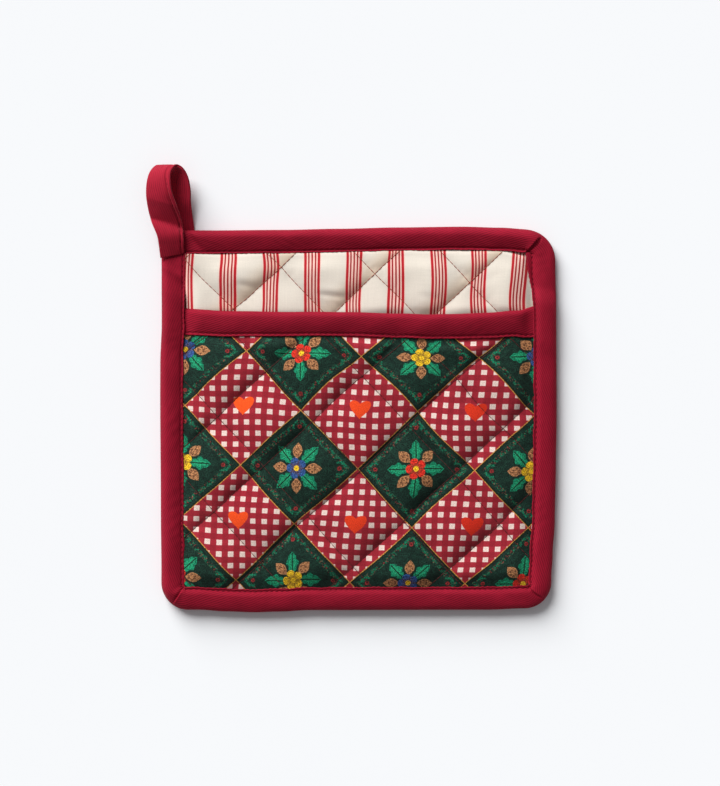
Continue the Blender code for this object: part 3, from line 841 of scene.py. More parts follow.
@dataclass(frozen=True)
class PrintedCotton:
    """Cotton printed with a patchwork of red gingham and dark green diamonds.

    The gingham diamonds carry plain hearts, and the green ones posies of leaves, cones and
    berries, with a border of small leaves and berries.
    """

    seams: SeamFamily
    name: str = "printed_cotton"
    corner: tuple[float, float] = (-59.8, 36.7)
    row: tuple[float, float] = (61.6, -1.54)
    down: tuple[float, float] = (-2.54, -60.2)
    spacing: float = 43.0
    checks: tuple[float, float] = (10.0, 10.42)
    check_half: float = 0.23
    heart_half: float = 5.7
    heart_shift: float = 0.95
    heart_squash: float = 1.46
    heart_drop: float = 0.05
    heart_power: float = 0.67
    heart_lift: float = 0.95
    line_half: float = 0.2
    posy_scale: float = 0.86
    cone: Petal = Petal(4.0, 7.4, 2.3)
    cone_scales: Petal = Petal(4.3, 6.8, 2.0)
    leaf_blade: Petal = Petal(3.0, 10.2, 3.1, 3)
    leaf_light: Petal = Petal(3.6, 8.6, 1.9, 3)
    leaf_vein: Petal = Petal(3.0, 9.6, 3.0)
    border_inset: float = 3.7
    wreath_out: float = 21.6
    wreath_radius: float = 3.1
    wreath_from: tuple[float, float] = (19.5, 21.0)
    green: Colour = srgb(10, 34, 26)
    green_light: Colour = srgb(19, 49, 38)
    shade: Colour = srgb(16, 20, 12)
    gold: Colour = srgb(190, 136, 60)
    gingham: Colour = srgb(154, 34, 47)
    gingham_dark: Colour = srgb(126, 22, 34)
    white: Colour = srgb(226, 200, 192)
    white_core: Colour = srgb(208, 190, 174)
    heart: Colour = srgb(200, 40, 20)
    heart_orange: Colour = srgb(234, 82, 22)
    emerald: Colour = srgb(14, 118, 84)
    leaf: Colour = srgb(30, 142, 98)
    tan: Colour = srgb(160, 110, 72)
    tan_dark: Colour = srgb(88, 54, 36)
    red: Colour = srgb(206, 44, 30)
    berry: Colour = srgb(134, 40, 40)
    yellow: Colour = srgb(220, 176, 34)
    blue: Colour = srgb(44, 78, 132)
    weave: PlainWeave = PlainWeave()

    def lattice(self, u: Value, v: Value) -> tuple[Value, Value]:
        """Counts along the rows and down the columns of diamonds, whole where four diamonds meet."""
        basis = np.array((self.row, self.down)).T
        (ax, ay), (bx, by) = np.linalg.inv(basis).tolist()
        x, y = u - self.corner[0], v - self.corner[1]
        return x * ax + y * ay, x * bx + y * by

    def gingham_colour(self, graph: Graph, row: Value, down: Value) -> Socket:
        """Checks with light squares, and darker ones where two bars cross."""
        across, along = row * self.checks[0], down * self.checks[1]
        gap_x, gap_y = abs(across.fract() - 0.5), abs(along.fract() - 0.5)
        low, high = self.check_half - 0.03, self.check_half + 0.03
        open_x, open_y = gap_x.step(high, low), gap_y.step(high, low)
        crossed = (1 - open_x) * (1 - open_y)
        bars = graph.blend(crossed * 0.55, self.gingham, self.gingham_dark)
        square = graph.blend(gap_x.most(gap_y).step(0.2, 0.06) * 0.6, self.white, self.white_core)
        return graph.blend(open_x * open_y, bars, square)

    def heart_mask(self, x: Value, y: Value) -> Value:
        """1 inside a plain heart: a circle whose height is raised by a power of the way across."""
        x = abs(x - self.heart_shift) / self.heart_half
        y = y / self.heart_half * self.heart_squash + self.heart_drop
        raised = y - x**self.heart_power * self.heart_lift
        return (x * x + raised * raised).step(1.06, 0.94)

    def posy(self, graph: Graph, x: Value, y: Value, turned: Value, accent: Link, under: Link) -> Socket:
        """A four-fold posy round the middle of a green diamond.

        Args:
            graph: The material's graph.
            x: The place across from the middle, in millimetres.
            y: The place along from the middle.
            turned: 1 where the leaves lie on the diagonals, 0 where the cones do.
            accent: The colour of the flower.
            under: The colour beneath.

        Returns:
            The colour. Folding the place along both axes and both diagonals repeats each leaf.
        """
        round_turn = y.math("ARCTAN2", x)
        x, y = abs(x), abs(y)
        long, short = x.most(y), x.least(y)
        slant, aside = (x + y) * math.sqrt(0.5), abs(x - y) * math.sqrt(0.5)
        leaf = (long + (slant - long) * turned, short + (aside - short) * turned)
        cone = (slant + (long - slant) * turned, aside + (short - aside) * turned)
        colour = graph.blend(self.cone.mask(*cone), under, self.tan)
        scales = ((cone[0] * 2.4).sine() * (cone[1] * 3.4).sine()).step(0.0, 0.5)
        colour = graph.blend(self.cone_scales.mask(*cone) * scales * 0.8, colour, self.tan_dark)
        colour = graph.blend(self.leaf_blade.mask(*leaf), colour, self.emerald)
        colour = graph.blend(self.leaf_light.mask(*leaf) * 0.7, colour, self.leaf)
        colour = graph.blend(leaf[1].step(0.34, 0.16) * self.leaf_vein.mask(*leaf), colour, self.green)
        middle = (x * x + y * y).math("SQRT")
        lobe = abs((round_turn * 2.5).sine()) ** 0.6
        petals = graph.blend(lobe.step(0.75, 0.2) * 0.6, accent, self.tan_dark)
        petals = graph.blend(middle.step(3.4, 1.6) * 0.5, petals, self.tan_dark)
        colour = graph.blend((middle / (lobe * 0.34 + 0.66)).step(4.9, 4.6), colour, petals)
        return graph.blend(middle.step(1.4, 1.1), colour, self.yellow)

    def border(self, graph: Graph, one: Value, two: Value, x: Value, y: Value, under: Link) -> Socket:
        """Small irregular leaves and berries inside a green diamond's edge, and a berry in each corner.

        Args:
            graph: The material's graph.
            one: The count of diamonds along one slant.
            two: The count along the other.
            x: The place across from the diamond's middle, in millimetres.
            y: The place along from it.
            under: The colour beneath.

        Returns:
            The colour. Noise above a threshold picks the leaves within a band beside the edge.
        """
        away = one.from_whole().least(two.from_whole()) * self.spacing
        band = abs(away - self.border_inset)
        leaf = graph.noise(one, two, 0.05, 0.05, 1.5, seed=33.0).step(0.48, 0.56) * band.step(1.5, 0.8)
        colour = graph.blend(leaf * 0.48, under, self.emerald)
        dot = graph.noise(one, two, 0.022, 0.022, 1.0, seed=37.0).step(0.58, 0.66) * band.step(1.5, 0.9)
        colour = graph.blend(dot * 0.7, colour, self.berry)
        x, y = abs(x), abs(y)
        long, short = x.most(y), x.least(y)
        out = long - self.wreath_out
        ring = (out * out + short * short).math("SQRT")
        leaves = graph.noise(x, y, 1.2, 1.2, seed=31.0).step(0.42, 0.54)
        wreath = abs(ring - self.wreath_radius).step(0.8, 0.3) * leaves
        colour = graph.blend(wreath * long.step(*self.wreath_from) * 0.85, colour, self.emerald)
        colour = graph.blend(ring.step(1.25, 0.95), colour, self.berry)
        return graph.blend(ring.step(0.6, 0.3) * 0.7, colour, self.shade)

    def material(self) -> Material:
        """Builds the finish."""
        graph = Graph(self.name)
        u, v = graph.flat()
        shake = (graph.noise(u, v, 1.1, 1.1, seed=12.0) - 0.5) * 0.35
        row, down = self.lattice(u + shake, v - shake)
        one, two = row + down, row - down
        is_gingham = (one.floor() + two.floor()) % 2.0
        wide, high = self.row[0], -self.down[1]
        heart_x, heart_y = (row - (row + 0.5).floor()) * wide, (down.floor() + 0.5 - down) * high
        posy_x, posy_y = (row - row.floor() - 0.5) * wide, ((down + 0.5).floor() - down) * high
        turn = (row.floor() + (down + 0.5).floor()) % 2.0
        kind = (row.floor() + (down + 0.5).floor() * 2.0) % 3.0
        accent = graph.blend(kind.step(0.4, 0.6), self.red, self.yellow)
        accent = graph.blend(kind.step(1.4, 1.6), accent, self.blue)
        dye = graph.noise(u, v, 3.0, 3.0, seed=20.0).step(0.35, 0.7)
        patch = graph.blend(dye, self.green, self.green_light)
        patch = self.border(graph, one, two, posy_x, posy_y, patch)
        scale = self.posy_scale
        patch = self.posy(graph, posy_x * scale, posy_y * scale, turn, accent, patch)
        check = self.gingham_colour(graph, row, down)
        heart = graph.blend((row + down * 0.6).step(-0.5, 3.0), self.heart_orange, self.heart)
        check = graph.blend(self.heart_mask(heart_x, heart_y), check, heart)
        away = one.from_whole().least(two.from_whole()) * self.spacing
        patch = graph.blend(away.step(1.3, 0.7) * 0.7, patch, self.shade)
        colour = graph.blend(is_gingham, patch, check)
        colour = graph.blend(away.step(self.line_half + 0.12, self.line_half - 0.14), colour, self.gold)
        mottle = graph.noise(u, v, 0.62, 0.62, 2.0, seed=41.0) - 0.5
        grain_and_painted_shade = 1.0 + mottle * (5.4 - is_gingham * 4.2)
        # Painted shade: the print darkens by up to 0.3 towards each seam, on its side away from the key
        # light.
        grain_and_painted_shade = grain_and_painted_shade * (1 - seam_share(u, v, self.seams).step(0.72, 1.0) * 0.3)
        colour = graph.lit(colour, self.weave.streaks(graph, u, v) * grain_and_painted_shade)
        return graph.finish(
            colour, self.weave.relief(u, v), 0.86, Specular_IOR_Level=0.2, Sheen_Weight=0.04,
            Sheen_Roughness=0.5,
        )


@dataclass(frozen=True)
class TwillTape:
    """Crimson cotton tape, woven in a twill whose ribs slant across it."""

    name: str
    colour: Colour = srgb(150, 17, 42)
    # groove is the colour of painted shade in the hollows between the ribs.
    groove: Colour = srgb(100, 8, 26)
    rib_pitch: float = 1.14
    rib_angle: float = 22.0
    rib_height: float = 0.11
    knot_pitch: float = 0.62
    sheen: float = 0.04

    def material(self) -> Material:
        """Builds the finish: sine-arch ribs across the slant with painted shade between, over cloudy dye and
        wear.
        """
        graph = Graph(self.name)
        u, v = graph.flat()
        slant = math.radians(self.rib_angle)
        sway = (graph.noise(u, v, 9.0, 9.0, seed=2.0) - 0.5) * 0.8
        count = (u * math.sin(slant) + v * math.cos(slant)) / self.rib_pitch + sway
        rib = abs((count * math.pi).sine())
        run = (u * math.cos(slant) - v * math.sin(slant)) / self.knot_pitch
        knot = abs((run * math.pi + count.floor() * (math.pi / 2)).sine())
        plain = graph.noise(u, v, 7.0, 3.0, 2.0, seed=14.0).step(0.35, 0.7) * 0.6
        depth = rib.step(0.0, 0.85) * (0.78 + knot * 0.22)
        # Painted shade: the colour darkens towards groove where the ribs' relief is low, and lightens on the
        # knots.
        colour = graph.blend(depth.most(plain), self.groove, self.colour)
        cloud = 0.82 + graph.noise(u, v, 16.0, 7.0, 3.0, seed=6.0) * 0.36
        fleck = 0.9 + graph.noise(u, v, 0.8, 0.5, 2.0, seed=9.0) * 0.2
        colour = graph.lit(colour, cloud * fleck)
        relief = rib * (0.8 + knot * 0.2) * self.rib_height
        return graph.finish(
            colour, relief, 0.8, Specular_IOR_Level=0.12, Sheen_Weight=self.sheen, Sheen_Roughness=0.45,
            Sheen_Tint=srgb(255, 150, 160),
        )


@dataclass(frozen=True)
class Thread:
    """Twisted sewing thread."""

    name: str
    colour: Colour
    twist: float = 0.5

    def material(self) -> Material:
        """Builds the finish: fine slanting turns on Object coordinates, with painted shade between turns."""
        graph = Graph(self.name)
        x, y, z = graph.place()
        turns = abs((((x + y) * 0.7 + z) * (math.pi / self.twist)).sine())
        # Painted shade: the thread is darker between its turns, where the relief is low.
        colour = graph.lit(self.colour, 0.7 + turns * 0.35)
        return graph.finish(colour, turns * 0.03, 0.7, Specular_IOR_Level=0.15, Sheen_Weight=0.0)


@dataclass(frozen=True)
class PaleFloor:
    """A plain pale studio floor."""

    name: str = "pale_floor"
    colour: Colour = (0.86, 0.87, 0.885)

    def material(self) -> Material:
        """Builds the finish: matte, with the faintest clouding."""
        graph = Graph(self.name)
        x, y, _ = graph.place()
        cloud = 0.995 + graph.noise(x, y, 160.0, 160.0) * 0.01
        return graph.finish(graph.lit(self.colour, cloud), 0.0, 0.95, Specular_IOR_Level=0.0)


# --- The pads ---


@dataclass(frozen=True)
class Crease:
    """A soft trough in the cloth, or a ridge where its depth is negative, in mm."""

    start: tuple[float, float]
    end: tuple[float, float]
    depth: float
    half_width: float

    def relief(self, x: Array, y: Array) -> Array:
        """The height it adds: a bell curve across it that fades at both ends.

        Args:
            x: Places across, in metres.
            y: Places along, in metres.

        Returns:
            Heights in metres.
        """
        start, end = np.array(self.start) * MM, np.array(self.end) * MM
        length = np.linalg.norm(end - start)
        way = (end - start) / length
        along = (x - start[0]) * way[0] + (y - start[1]) * way[1]
        across = (x - start[0]) * way[1] - (y - start[1]) * way[0]
        ends = smooth(-0.1 * length, 0.3 * length, along) * (1 - smooth(0.7 * length, 1.1 * length, along))
        return -self.depth * MM * np.exp(-((across / (self.half_width * MM)) ** 2)) * ends


@dataclass(frozen=True)
class Drift:
    """A patch of cloth pulled sideways, all in mm."""

    middle: tuple[float, float]
    reach: tuple[float, float]
    pull: tuple[float, float]

    def shift(self, x: Array, y: Array) -> tuple[Array, Array]:
        """The pull over the cloth: a bell curve each way from the patch's middle."""
        across = (x / MM - self.middle[0]) / self.reach[0]
        along = (y / MM - self.middle[1]) / self.reach[1]
        share = np.exp(-(across**2) - along**2) * MM
        return self.pull[0] * share, self.pull[1] * share


@dataclass(frozen=True)
class QuiltedPad:
    """A quilted pad: a closed solid between an underside and a top, both worked out from a grid."""

    name: str
    node: str
    slot: str
    quilt: Quilt
    inset: float
    seed: int
    creases: tuple[Crease, ...] = ()
    drifts: tuple[Drift, ...] = ()
    bowing: float = 1.3 * MM
    sway: float = 0.45 * MM
    fade: float = 9 * MM
    swell: float = 0.6 * MM
    swell_from: float = -0.9 * MM
    swell_until: float = 0.5 * MM
    rim_taper: float = 4.5 * MM
    rim_rounding: float = 0.38
    softness: float = 0.22 * MM
    soft_length: float = 21 * MM
    sway_length: float = 48 * MM
    held_reach: float = 14 * MM
    bow_along: float = 0.4
    rim_room: float = 0.2 * MM

    def margin(self, x: Array, y: Array) -> Array:
        """How far each flat point lies inside the pad's own cut edge."""
        return SQUARE.inside(x, y) - self.inset

    def heights(self, x: Array, y: Array) -> tuple[Array, Array]:
        """The underside and the top over flat points."""
        raise NotImplementedError

    def rounding(self, inside: Array, thick: float | Array) -> Array:
        """How far the cut edge is rounded off, by a smooth step of the distance inside the outline."""
        return self.rim_rounding * thick * (1 - smooth(self.inset, self.rim_taper, inside))

    def welt(self, past: Array) -> Array:
        """How far the cloth swells up beside the tape, by a smooth step of the distance past it."""
        return self.swell * smooth(self.swell_from, self.swell_until, past)

    def settle(self, x: Array, y: Array) -> tuple[Array, Array]:
        """Where flat points come to lie: the cloth sways a little, and follows the uneven edges.

        Args:
            x: Places across on the flat cloth.
            y: Places along on the flat cloth.

        Returns:
            The places across and along.
        """
        free = smooth(0, self.held_reach, self.margin(x, y))
        bow_x, bow_y = self.bow(x, y)
        dx = (self.sway * ripples(x, y, self.sway_length, self.seed + 20) + bow_x) * free
        dy = (self.sway * ripples(x, y, self.sway_length, self.seed + 21) + bow_y) * free
        for drift in self.drifts:
            drift_x, drift_y = drift.shift(x, y)
            dx, dy = dx + drift_x, dy + drift_y
        return SQUARE.uneven(x + dx, y + dy)

    def bow(self, x: Array, y: Array) -> tuple[Array, Array]:
        """How far the cloth bows sideways within each diamond, where it is longer than its seams.

        Args:
            x: Places across on the flat cloth.
            y: Places along on the flat cloth.

        Returns:
            Distances across and along: a seeded vector for each diamond, times a sine arch
            between the seams of each family.
        """
        counts = [seams.count(x, y) for seams in self.quilt.families]
        arch = np.abs(np.sin(math.pi * counts[0]) * np.sin(math.pi * counts[1]))
        row, column = (np.floor(count).astype(int) + BOW_MIDDLE for count in counts)
        vectors = np.random.default_rng(self.seed + 50).uniform(-1, 1, (2 * BOW_MIDDLE, 2 * BOW_MIDDLE, 2))
        share = vectors[row, column] * self.bowing * arch[..., None]
        return share[..., 0], share[..., 1] * self.bow_along

    def relief(self, x: Array, y: Array) -> Array:
        """Unevenness of the top: puckers at the seams, slow swells and the creases set by hand."""
        soft = self.softness * ripples(x, y, self.soft_length, self.seed + 30)
        total = self.quilt.puckers(x, y, self.seed) + soft
        for crease in self.creases:
            total = total + crease.relief(x, y)
        return total

    def snapped(self, x: Array, y: Array, rim: Array) -> tuple[Array, Array]:
        """Moves the grid's outermost points onto the cut edge, by the slope of the margin.

        Args:
            x: Places across.
            y: Places along.
            rim: Which points are outermost.

        Returns:
            The places across and along.
        """
        nudge = 0.01 * MM
        margin = self.margin(x, y)
        slope_x = (self.margin(x + nudge, y) - margin) / nudge
        slope_y = (self.margin(x, y + nudge) - margin) / nudge
        size = np.maximum(np.hypot(slope_x, slope_y), 1e-6)
        return x - rim * margin * slope_x / size, y - rim * margin * slope_y / size

    def cloth(self) -> Piece:
        """Builds the pad: grid cells inside the cut edge, an underside, a top and a rim."""
        x, y = self.quilt.places(math.hypot(SQUARE.half_x, SQUARE.half_y))
        kept = self.margin(x, y) > self.rim_room
        cell = kept[:-1, :-1] & kept[1:, :-1] & kept[1:, 1:] & kept[:-1, 1:]
        padded = np.pad(cell, 1)
        around = np.stack([padded[:-1, :-1], padded[1:, :-1], padded[1:, 1:], padded[:-1, 1:]])
        used, rim = around.any(axis=0), around.any(axis=0) & ~around.all(axis=0)
        x, y = self.snapped(x, y, rim)
        number = np.cumsum(used.ravel()).reshape(used.shape) - 1
        ids = [number[:-1, :-1], number[1:, :-1], number[1:, 1:], number[:-1, 1:]]
        top = np.stack([corner[cell] for corner in ids], axis=-1)
        count = int(used.sum())
        rim_edges = []
        borders = (
            ((0, 1), padded[:-1, 1:-1], padded[1:, 1:-1]), ((1, 0), padded[1:-1, 1:], padded[1:-1, :-1]),
        )
        for step, before, after in borders:
            starts = np.argwhere(before != after)
            pair = np.stack([number[tuple(starts.T)], number[tuple((starts + step).T)]], axis=-1)
            flip = after[before != after]
            rim_edges.append(np.where(flip[:, None], pair, pair[:, ::-1]))
        edges = np.concatenate(rim_edges)
        sides = np.stack([edges[:, 1], edges[:, 0], edges[:, 0] + count, edges[:, 1] + count], axis=-1)
        flat_x, flat_y = x[used], y[used]
        under, over = self.heights(flat_x, flat_y)
        set_x, set_y = self.settle(flat_x, flat_y)
        points = np.concatenate([np.stack([set_x, set_y, z], axis=-1) for z in (over, under)])
        flat = np.tile(np.stack([flat_x, flat_y], axis=-1), (2, 1))
        faces = [top, top[:, ::-1] + count, sides]
        return lay_mesh(self.name, points, faces, [flat[group] for group in faces])

    def seam_paths(self, face: int, margin: float) -> list[Array]:
        """The quilting seams as they lie on one face.

        Args:
            face: 0 for the underside, 1 for the top.
            margin: How far inside the cut edge a seam still shows.

        Returns:
            Rows of places, one for each seam.
        """
        paths = []
        for line in self.quilt.lines(math.hypot(SQUARE.half_x, SQUARE.half_y)):
            x, y = line.T
            shown = self.margin(x, y) > margin
            if shown.sum() > 4:
                x, y = x[shown], y[shown]
                paths.append(np.stack([*self.settle(x, y), self.heights(x, y)[face]], axis=-1))
        return paths


@dataclass(frozen=True)
class BodyPad(QuiltedPad):
    """The full-size quilted pad, flat on its back."""

    puff: float = 2.35 * MM
    fade: float = 10 * MM
    swell: float = 1.6 * MM
    puff_pressed: float = 0.4 * MM
    pressed_below: float = 50 * MM
    free_above: float = 59 * MM
    channel: float = 0.1 * MM
    back_play: float = 0.9 * MM
    back_flatness: float = 3.0

    def heights(self, x: Array, y: Array) -> tuple[Array, Array]:
        """The underside and the top.

        Args:
            x: Places across on the flat cloth.
            y: Places along on the flat cloth.

        Returns:
            Heights. The puffs fade within a smooth step of the bound edge, and lie pressed flat
            under the pocket. The back's puffs are flattened on the surface.
        """
        inset = SQUARE.inside(x, y)
        past = inset - SQUARE.flare(x, y) - SQUARE.binding
        free = smooth(-1.5 * MM, self.fade, past)
        bottom = STACK.body_bottom + STACK.loop_lift * STACK.lifted(x, y)
        rounding = self.rounding(inset, STACK.body_top - bottom)
        bump = self.quilt.puff(x, y)
        share = smooth(self.pressed_below, self.free_above, y)
        height = mix(self.puff_pressed, self.puff, share) * bump + self.relief(x, y) * (0.2 + 0.8 * share)
        back = self.back_play * (1 - np.minimum(1.0, self.back_flatness * bump))
        under = mix(bottom + rounding, back, free)
        return under, STACK.body_top - rounding + (self.channel + height) * free + self.welt(past) * share


@dataclass(frozen=True)
class PocketPad(QuiltedPad):
    """The smaller quilted pad, sewn in on three sides and arched at its mouth."""

    puff: float = 3.0 * MM
    puff_below: float = 0.3 * MM
    channel: float = 1.5 * MM

    def within(self, x: Array, y: Array) -> Array:
        """How far each point lies inside the outline's two sides and its foot."""
        return np.minimum(SQUARE.inside(x, np.minimum(y, 0)), SQUARE.half_x - np.abs(x))

    def margin(self, x: Array, y: Array) -> Array:
        """How far each flat point lies inside the cut edge on three sides and the open top."""
        return np.minimum(self.within(x, y) - self.inset, MOUTH.top - MOUTH.edge_inset - y)

    def sagged(self, x: Array, y: Array) -> Array:
        """Places along, lowered by the mouth's sag, which a smooth step takes up below it."""
        top = MOUTH.top - MOUTH.edge_inset
        return y - (MOUTH.top - MOUTH.edge(x)) * smooth(top - MOUTH.sag_reach, top, y)

    def settle(self, x: Array, y: Array) -> tuple[Array, Array]:
        """Where flat points come to lie, with the mouth's sag."""
        return super().settle(x, self.sagged(x, y))

    def heights(self, x: Array, y: Array) -> tuple[Array, Array]:
        """The underside and the top.

        Args:
            x: Places across on the flat cloth.
            y: Places along on the flat cloth.

        Returns:
            Heights. The pad lies on an arch that is highest at the mouth, its puffs fade at the
            bound edges and in the mouth's fold, and it thins inside that fold.
        """
        y = self.sagged(x, y)
        wide = self.within(x, y)
        fold = MOUTH.fold_share(x, y)
        free = smooth(SQUARE.binding - 1.5 * MM, SQUARE.binding + self.fade, wide) * (1 - fold)
        rounding = self.rounding(wide, STACK.pocket_rim) * (1 - fold)
        thin = MOUTH.edge(x) - 2 * MOUTH.edge_inset
        tip = self.rim_rounding * STACK.mouth_rim / 2 * smooth(thin, thin + MOUTH.edge_inset, y)
        bump = self.quilt.puff(x, y) * free
        thick = mix(mix(STACK.pocket_rim, self.channel, free), STACK.mouth_rim, fold)
        low = MOUTH.pocket_under(x, y)
        over = low + thick + self.puff * bump + self.relief(x, y) * free - rounding - tip
        over = over + self.welt(wide - SQUARE.binding) * (1 - fold)
        return low - self.puff_below * bump + tip, over


# --- The folded tape ---


@dataclass(frozen=True)
class TapeFold:
    """The section of a tape folded over an edge and sewn through near its inner edges.

    Its front leg rises over a full roll and falls steeply to the sewn groove, with a lip beyond.
    """

    tape: float
    back_curve: float
    groove_half: float = 0.48 * MM
    lip_edge: float = 0.16 * MM
    fine: float = 2.6 * MM
    fine_share: float = 0.25

    def columns(self) -> tuple[Array, Array, Array]:
        """The ring's points as leg, share along it and depth.

        Returns:
            Leg 0 is the flat front, 1 the front's curve, 2 the back's curve and 3 the flat back.
            Shares run from the inner edge towards the fold and on to the back. Depth is 0 on the
            outside, and 1 on the inside, which runs the other way.
        """
        outside = (
            np.concatenate((np.linspace(0, self.fine_share, 14), np.linspace(0.33, 0.93, 8))),
            np.linspace(0, 1, 11)[:-1], np.linspace(0, 1, 7)[:-1], np.linspace(0, 1, 6),
        )
        inside = (
            np.linspace(0, 0.85, 6), np.linspace(0, 0.8, 4), np.linspace(0, 0.8, 4), np.linspace(0, 1, 4),
        )
        legs, shares = [], []
        for rows, order in ((outside, 1), (inside, -1)):
            legs.append(np.repeat(np.arange(4), [len(row) for row in rows])[::order])
            shares.append(np.concatenate(rows)[::order])
        depth = np.repeat((0.0, 1.0), [len(leg) for leg in legs])
        return np.concatenate(legs), np.concatenate(shares), depth

    def ring(
        self, width: Array, seam: Array, back: Array, fold: Array, crown: Array, front: Array, lip: Array,
        groove: Array, curve: Array, fullness: Array, lee: Array,
    ) -> tuple[Array, Array, Array]:
        """Works out the ring at every station.

        Args:
            width: The tape's width on the front at each station.
            seam: The distance from the fold in to the sewn groove.
            back: The level of the back leg's outside.
            fold: The level of the fold.
            crown: The level of the roll's crown.
            front: The level of the front leg's outside at its inner edge.
            lip: How far the lip beyond the groove rises.
            groove: How deep the sewn groove is.
            curve: How far in from the fold the crown lies.
            fullness: The power by which the front falls from the crown.
            lee: 1 where the roll leans outwards with a tight fold, 0 where it is round.

        Returns:
            Distances in from the fold, heights, and distances round the tape from its inner edge.
            The front's curve is a quarter of a superellipse and the back's of an ellipse. The flat
            front falls from the crown by a power of the share, and the groove is a bell curve.
        """
        leg, share, depth = self.columns()
        width, seam, back, fold, crown, front, lip, groove, curve, fullness, lee = (
            np.broadcast_to(level, width.shape)[:, None]
            for level in (width, seam, back, fold, crown, front, lip, groove, curve, fullness, lee)
        )
        depth = depth[None] * self.tape
        share = share[None]
        flat_share = np.clip((share - self.fine_share) / (1 - self.fine_share), 0, 1)
        fine = width - self.fine * share / self.fine_share
        u_front = np.where(share < self.fine_share, fine, mix(width - self.fine, curve, flat_share))
        down = np.clip((u_front - curve) / (seam - curve), 0, 1.3)
        fall = np.minimum(down, 1) ** fullness
        groove = groove * np.exp(-(((u_front - seam) / self.groove_half) ** 2))
        lip = lip * smooth(seam, width, u_front)
        edge = 0.5 * self.tape * np.exp(-(width - u_front) / self.lip_edge)
        on_top = depth == 0
        z_front = mix(crown, front, fall) + on_top * (lip - groove - edge) - (1 - on_top) * (depth - edge)
        way = np.sin(share * math.pi / 2)
        u_curve = depth + (curve - depth) * (1 - way)
        z_curve = fold + (crown - depth - fold) * (1 - way ** mix(2.0, 1.5, lee)) ** (1 / mix(2.0, 4.0, lee))
        turn = (1 - share) * math.pi / 2
        u_back_curve = depth + (self.back_curve - depth) * (1 - np.sin(turn))
        z_back_curve = fold + (back + depth - fold) * np.cos(turn)
        u_back = mix(self.back_curve, width, share)
        z_back = back + depth + 0 * u_back
        picks = [leg[None] == number for number in range(4)]
        u = np.select(picks, [u_front, u_curve, u_back_curve, u_back])
        z = np.select(picks, [z_front, z_curve, z_back_curve, z_back])
        steps = np.hypot(np.diff(u, axis=1), np.diff(z, axis=1))
        round_tape = np.concatenate((np.zeros_like(width), np.cumsum(steps, axis=1)), axis=1)
        return u, z, round_tape


@dataclass(frozen=True)
class TapeWear:
    """What sewing leaves on a tape: slow ripples, drag lines, and a dent at each stitch."""

    ripple: float
    ripple_length: float
    drag_depth: float
    seed: int
    drag_slant: float = 0.9
    drag_length: float = 6.2 * MM
    dent: float = 0.2 * MM
    dent_reach: float = 0.9 * MM

    def relief(self, along: Array, u: Array, seam: Array, width: float, pitch: float) -> Array:
        """The height that it adds to the tape's front.

        Args:
            along: The distance along the tape.
            u: The distance in from the fold.
            seam: The distance from the fold in to the sewn groove at each station.
            width: The tape's width on the front.
            pitch: The distance from stitch to stitch.

        Returns:
            Heights: ripples, sines that slant over the roll with seeded strength and wander, and
            a cosine of the stitches within a bell curve beside the seam, where the rest is calm.
        """
        lumps = self.ripple * ripples(along, u, self.ripple_length, self.seed)
        wander = 1.7 * ripples(along, u, 26 * MM, self.seed + 2)
        strength = np.clip(0.4 + 0.6 * ripples(along, u * 0.3, 31 * MM, self.seed + 3), 0, 1.5)
        near = smooth(0.1 * width, 0.75 * width, u) * (1 - smooth(0.85 * width, 0.93 * width, u))
        slanted = math.tau * (along + self.drag_slant * u) / self.drag_length
        lumps = lumps + self.drag_depth * strength * near * np.sin(slanted + wander)
        near_seam = np.exp(-(((u - seam[:, None]) / self.dent_reach) ** 2))
        dents = self.dent * np.cos(math.tau * along / pitch) * near_seam
        return lumps * (1 - 0.7 * near_seam) + dents


def flat_tape(along: Array, round_tape: Array) -> Array:
    """The flat-cloth places of a tape's rings, with one point more for the way round."""
    across = np.pad(round_tape, ((0, 0), (0, 1)), mode="wrap")
    return np.stack([np.broadcast_to(along[:, None], across.shape), across], axis=-1)


def sewn_groove(places: Array, u: Array, front: Array, seam: Array) -> Array:
    """The place at each station where the front lies nearest to the seam."""
    column = np.argmin(np.abs(np.where(front, u, 1.0) - seam[:, None]), axis=1)
    return places[np.arange(len(seam)), column]


class Corner(Enum):
    """The bound square's corners, by the signs of X and Y and the angle at which each starts."""

    TOP_RIGHT = (1, 1, 0)
    TOP_LEFT = (-1, 1, 90)
    BOTTOM_LEFT = (-1, -1, 180)
    BOTTOM_RIGHT = (1, -1, 270)

    @property
    def radius(self) -> float:
        """The outline's radius at this corner."""
        return getattr(SQUARE, self.name.lower())


@dataclass(frozen=True)
class Mitre:
    """A mitred fold, where one side of the binding is laid over the next at a corner."""

    corner: Corner
    angle: float
    reach: float
    step: float
    gap: float
    gap_half: float
    bow: float = 0.0
    shift: float = 0.0

    def relief(self, x: Array, y: Array) -> Array:
        """The height that the fold adds.

        Args:
            x: Places across on the straight-edged square.
            y: Places along on it.

        Returns:
            Heights: a swell on the upper side that fades by an exponential, a bell-shaped gap
            under the fold's edge on the other, both within the fold's reach.
        """
        sign_x, sign_y, _ = self.corner.value
        dx = x - sign_x * (SQUARE.half_x - SQUARE.binding) - self.shift
        dy = y - sign_y * (SQUARE.half_y - SQUARE.binding)
        turn = math.radians(self.angle)
        out = dx * math.cos(turn) + dy * math.sin(turn)
        share = np.clip(out / self.reach, 0, 1)
        across = dy * math.cos(turn) - dx * math.sin(turn) - self.bow * np.sin(math.pi * share)
        ends = smooth(-0.04, 0.12, out / self.reach) * (1 - smooth(0.8, 1.05, out / self.reach))
        over = self.step * np.exp(-np.maximum(across, 0) / (4 * MM)) * smooth(0, 0.5 * MM, across)
        widest = 0.45 + 0.55 * np.sin(math.pi * share**1.3)
        side = np.minimum(across + 0.15 * MM, 0) / (self.gap_half * widest)
        under = self.gap * widest * np.exp(-(side**2)) * (1 - smooth(-0.1 * MM, 0.45 * MM, across))
        return (over - under) * ends


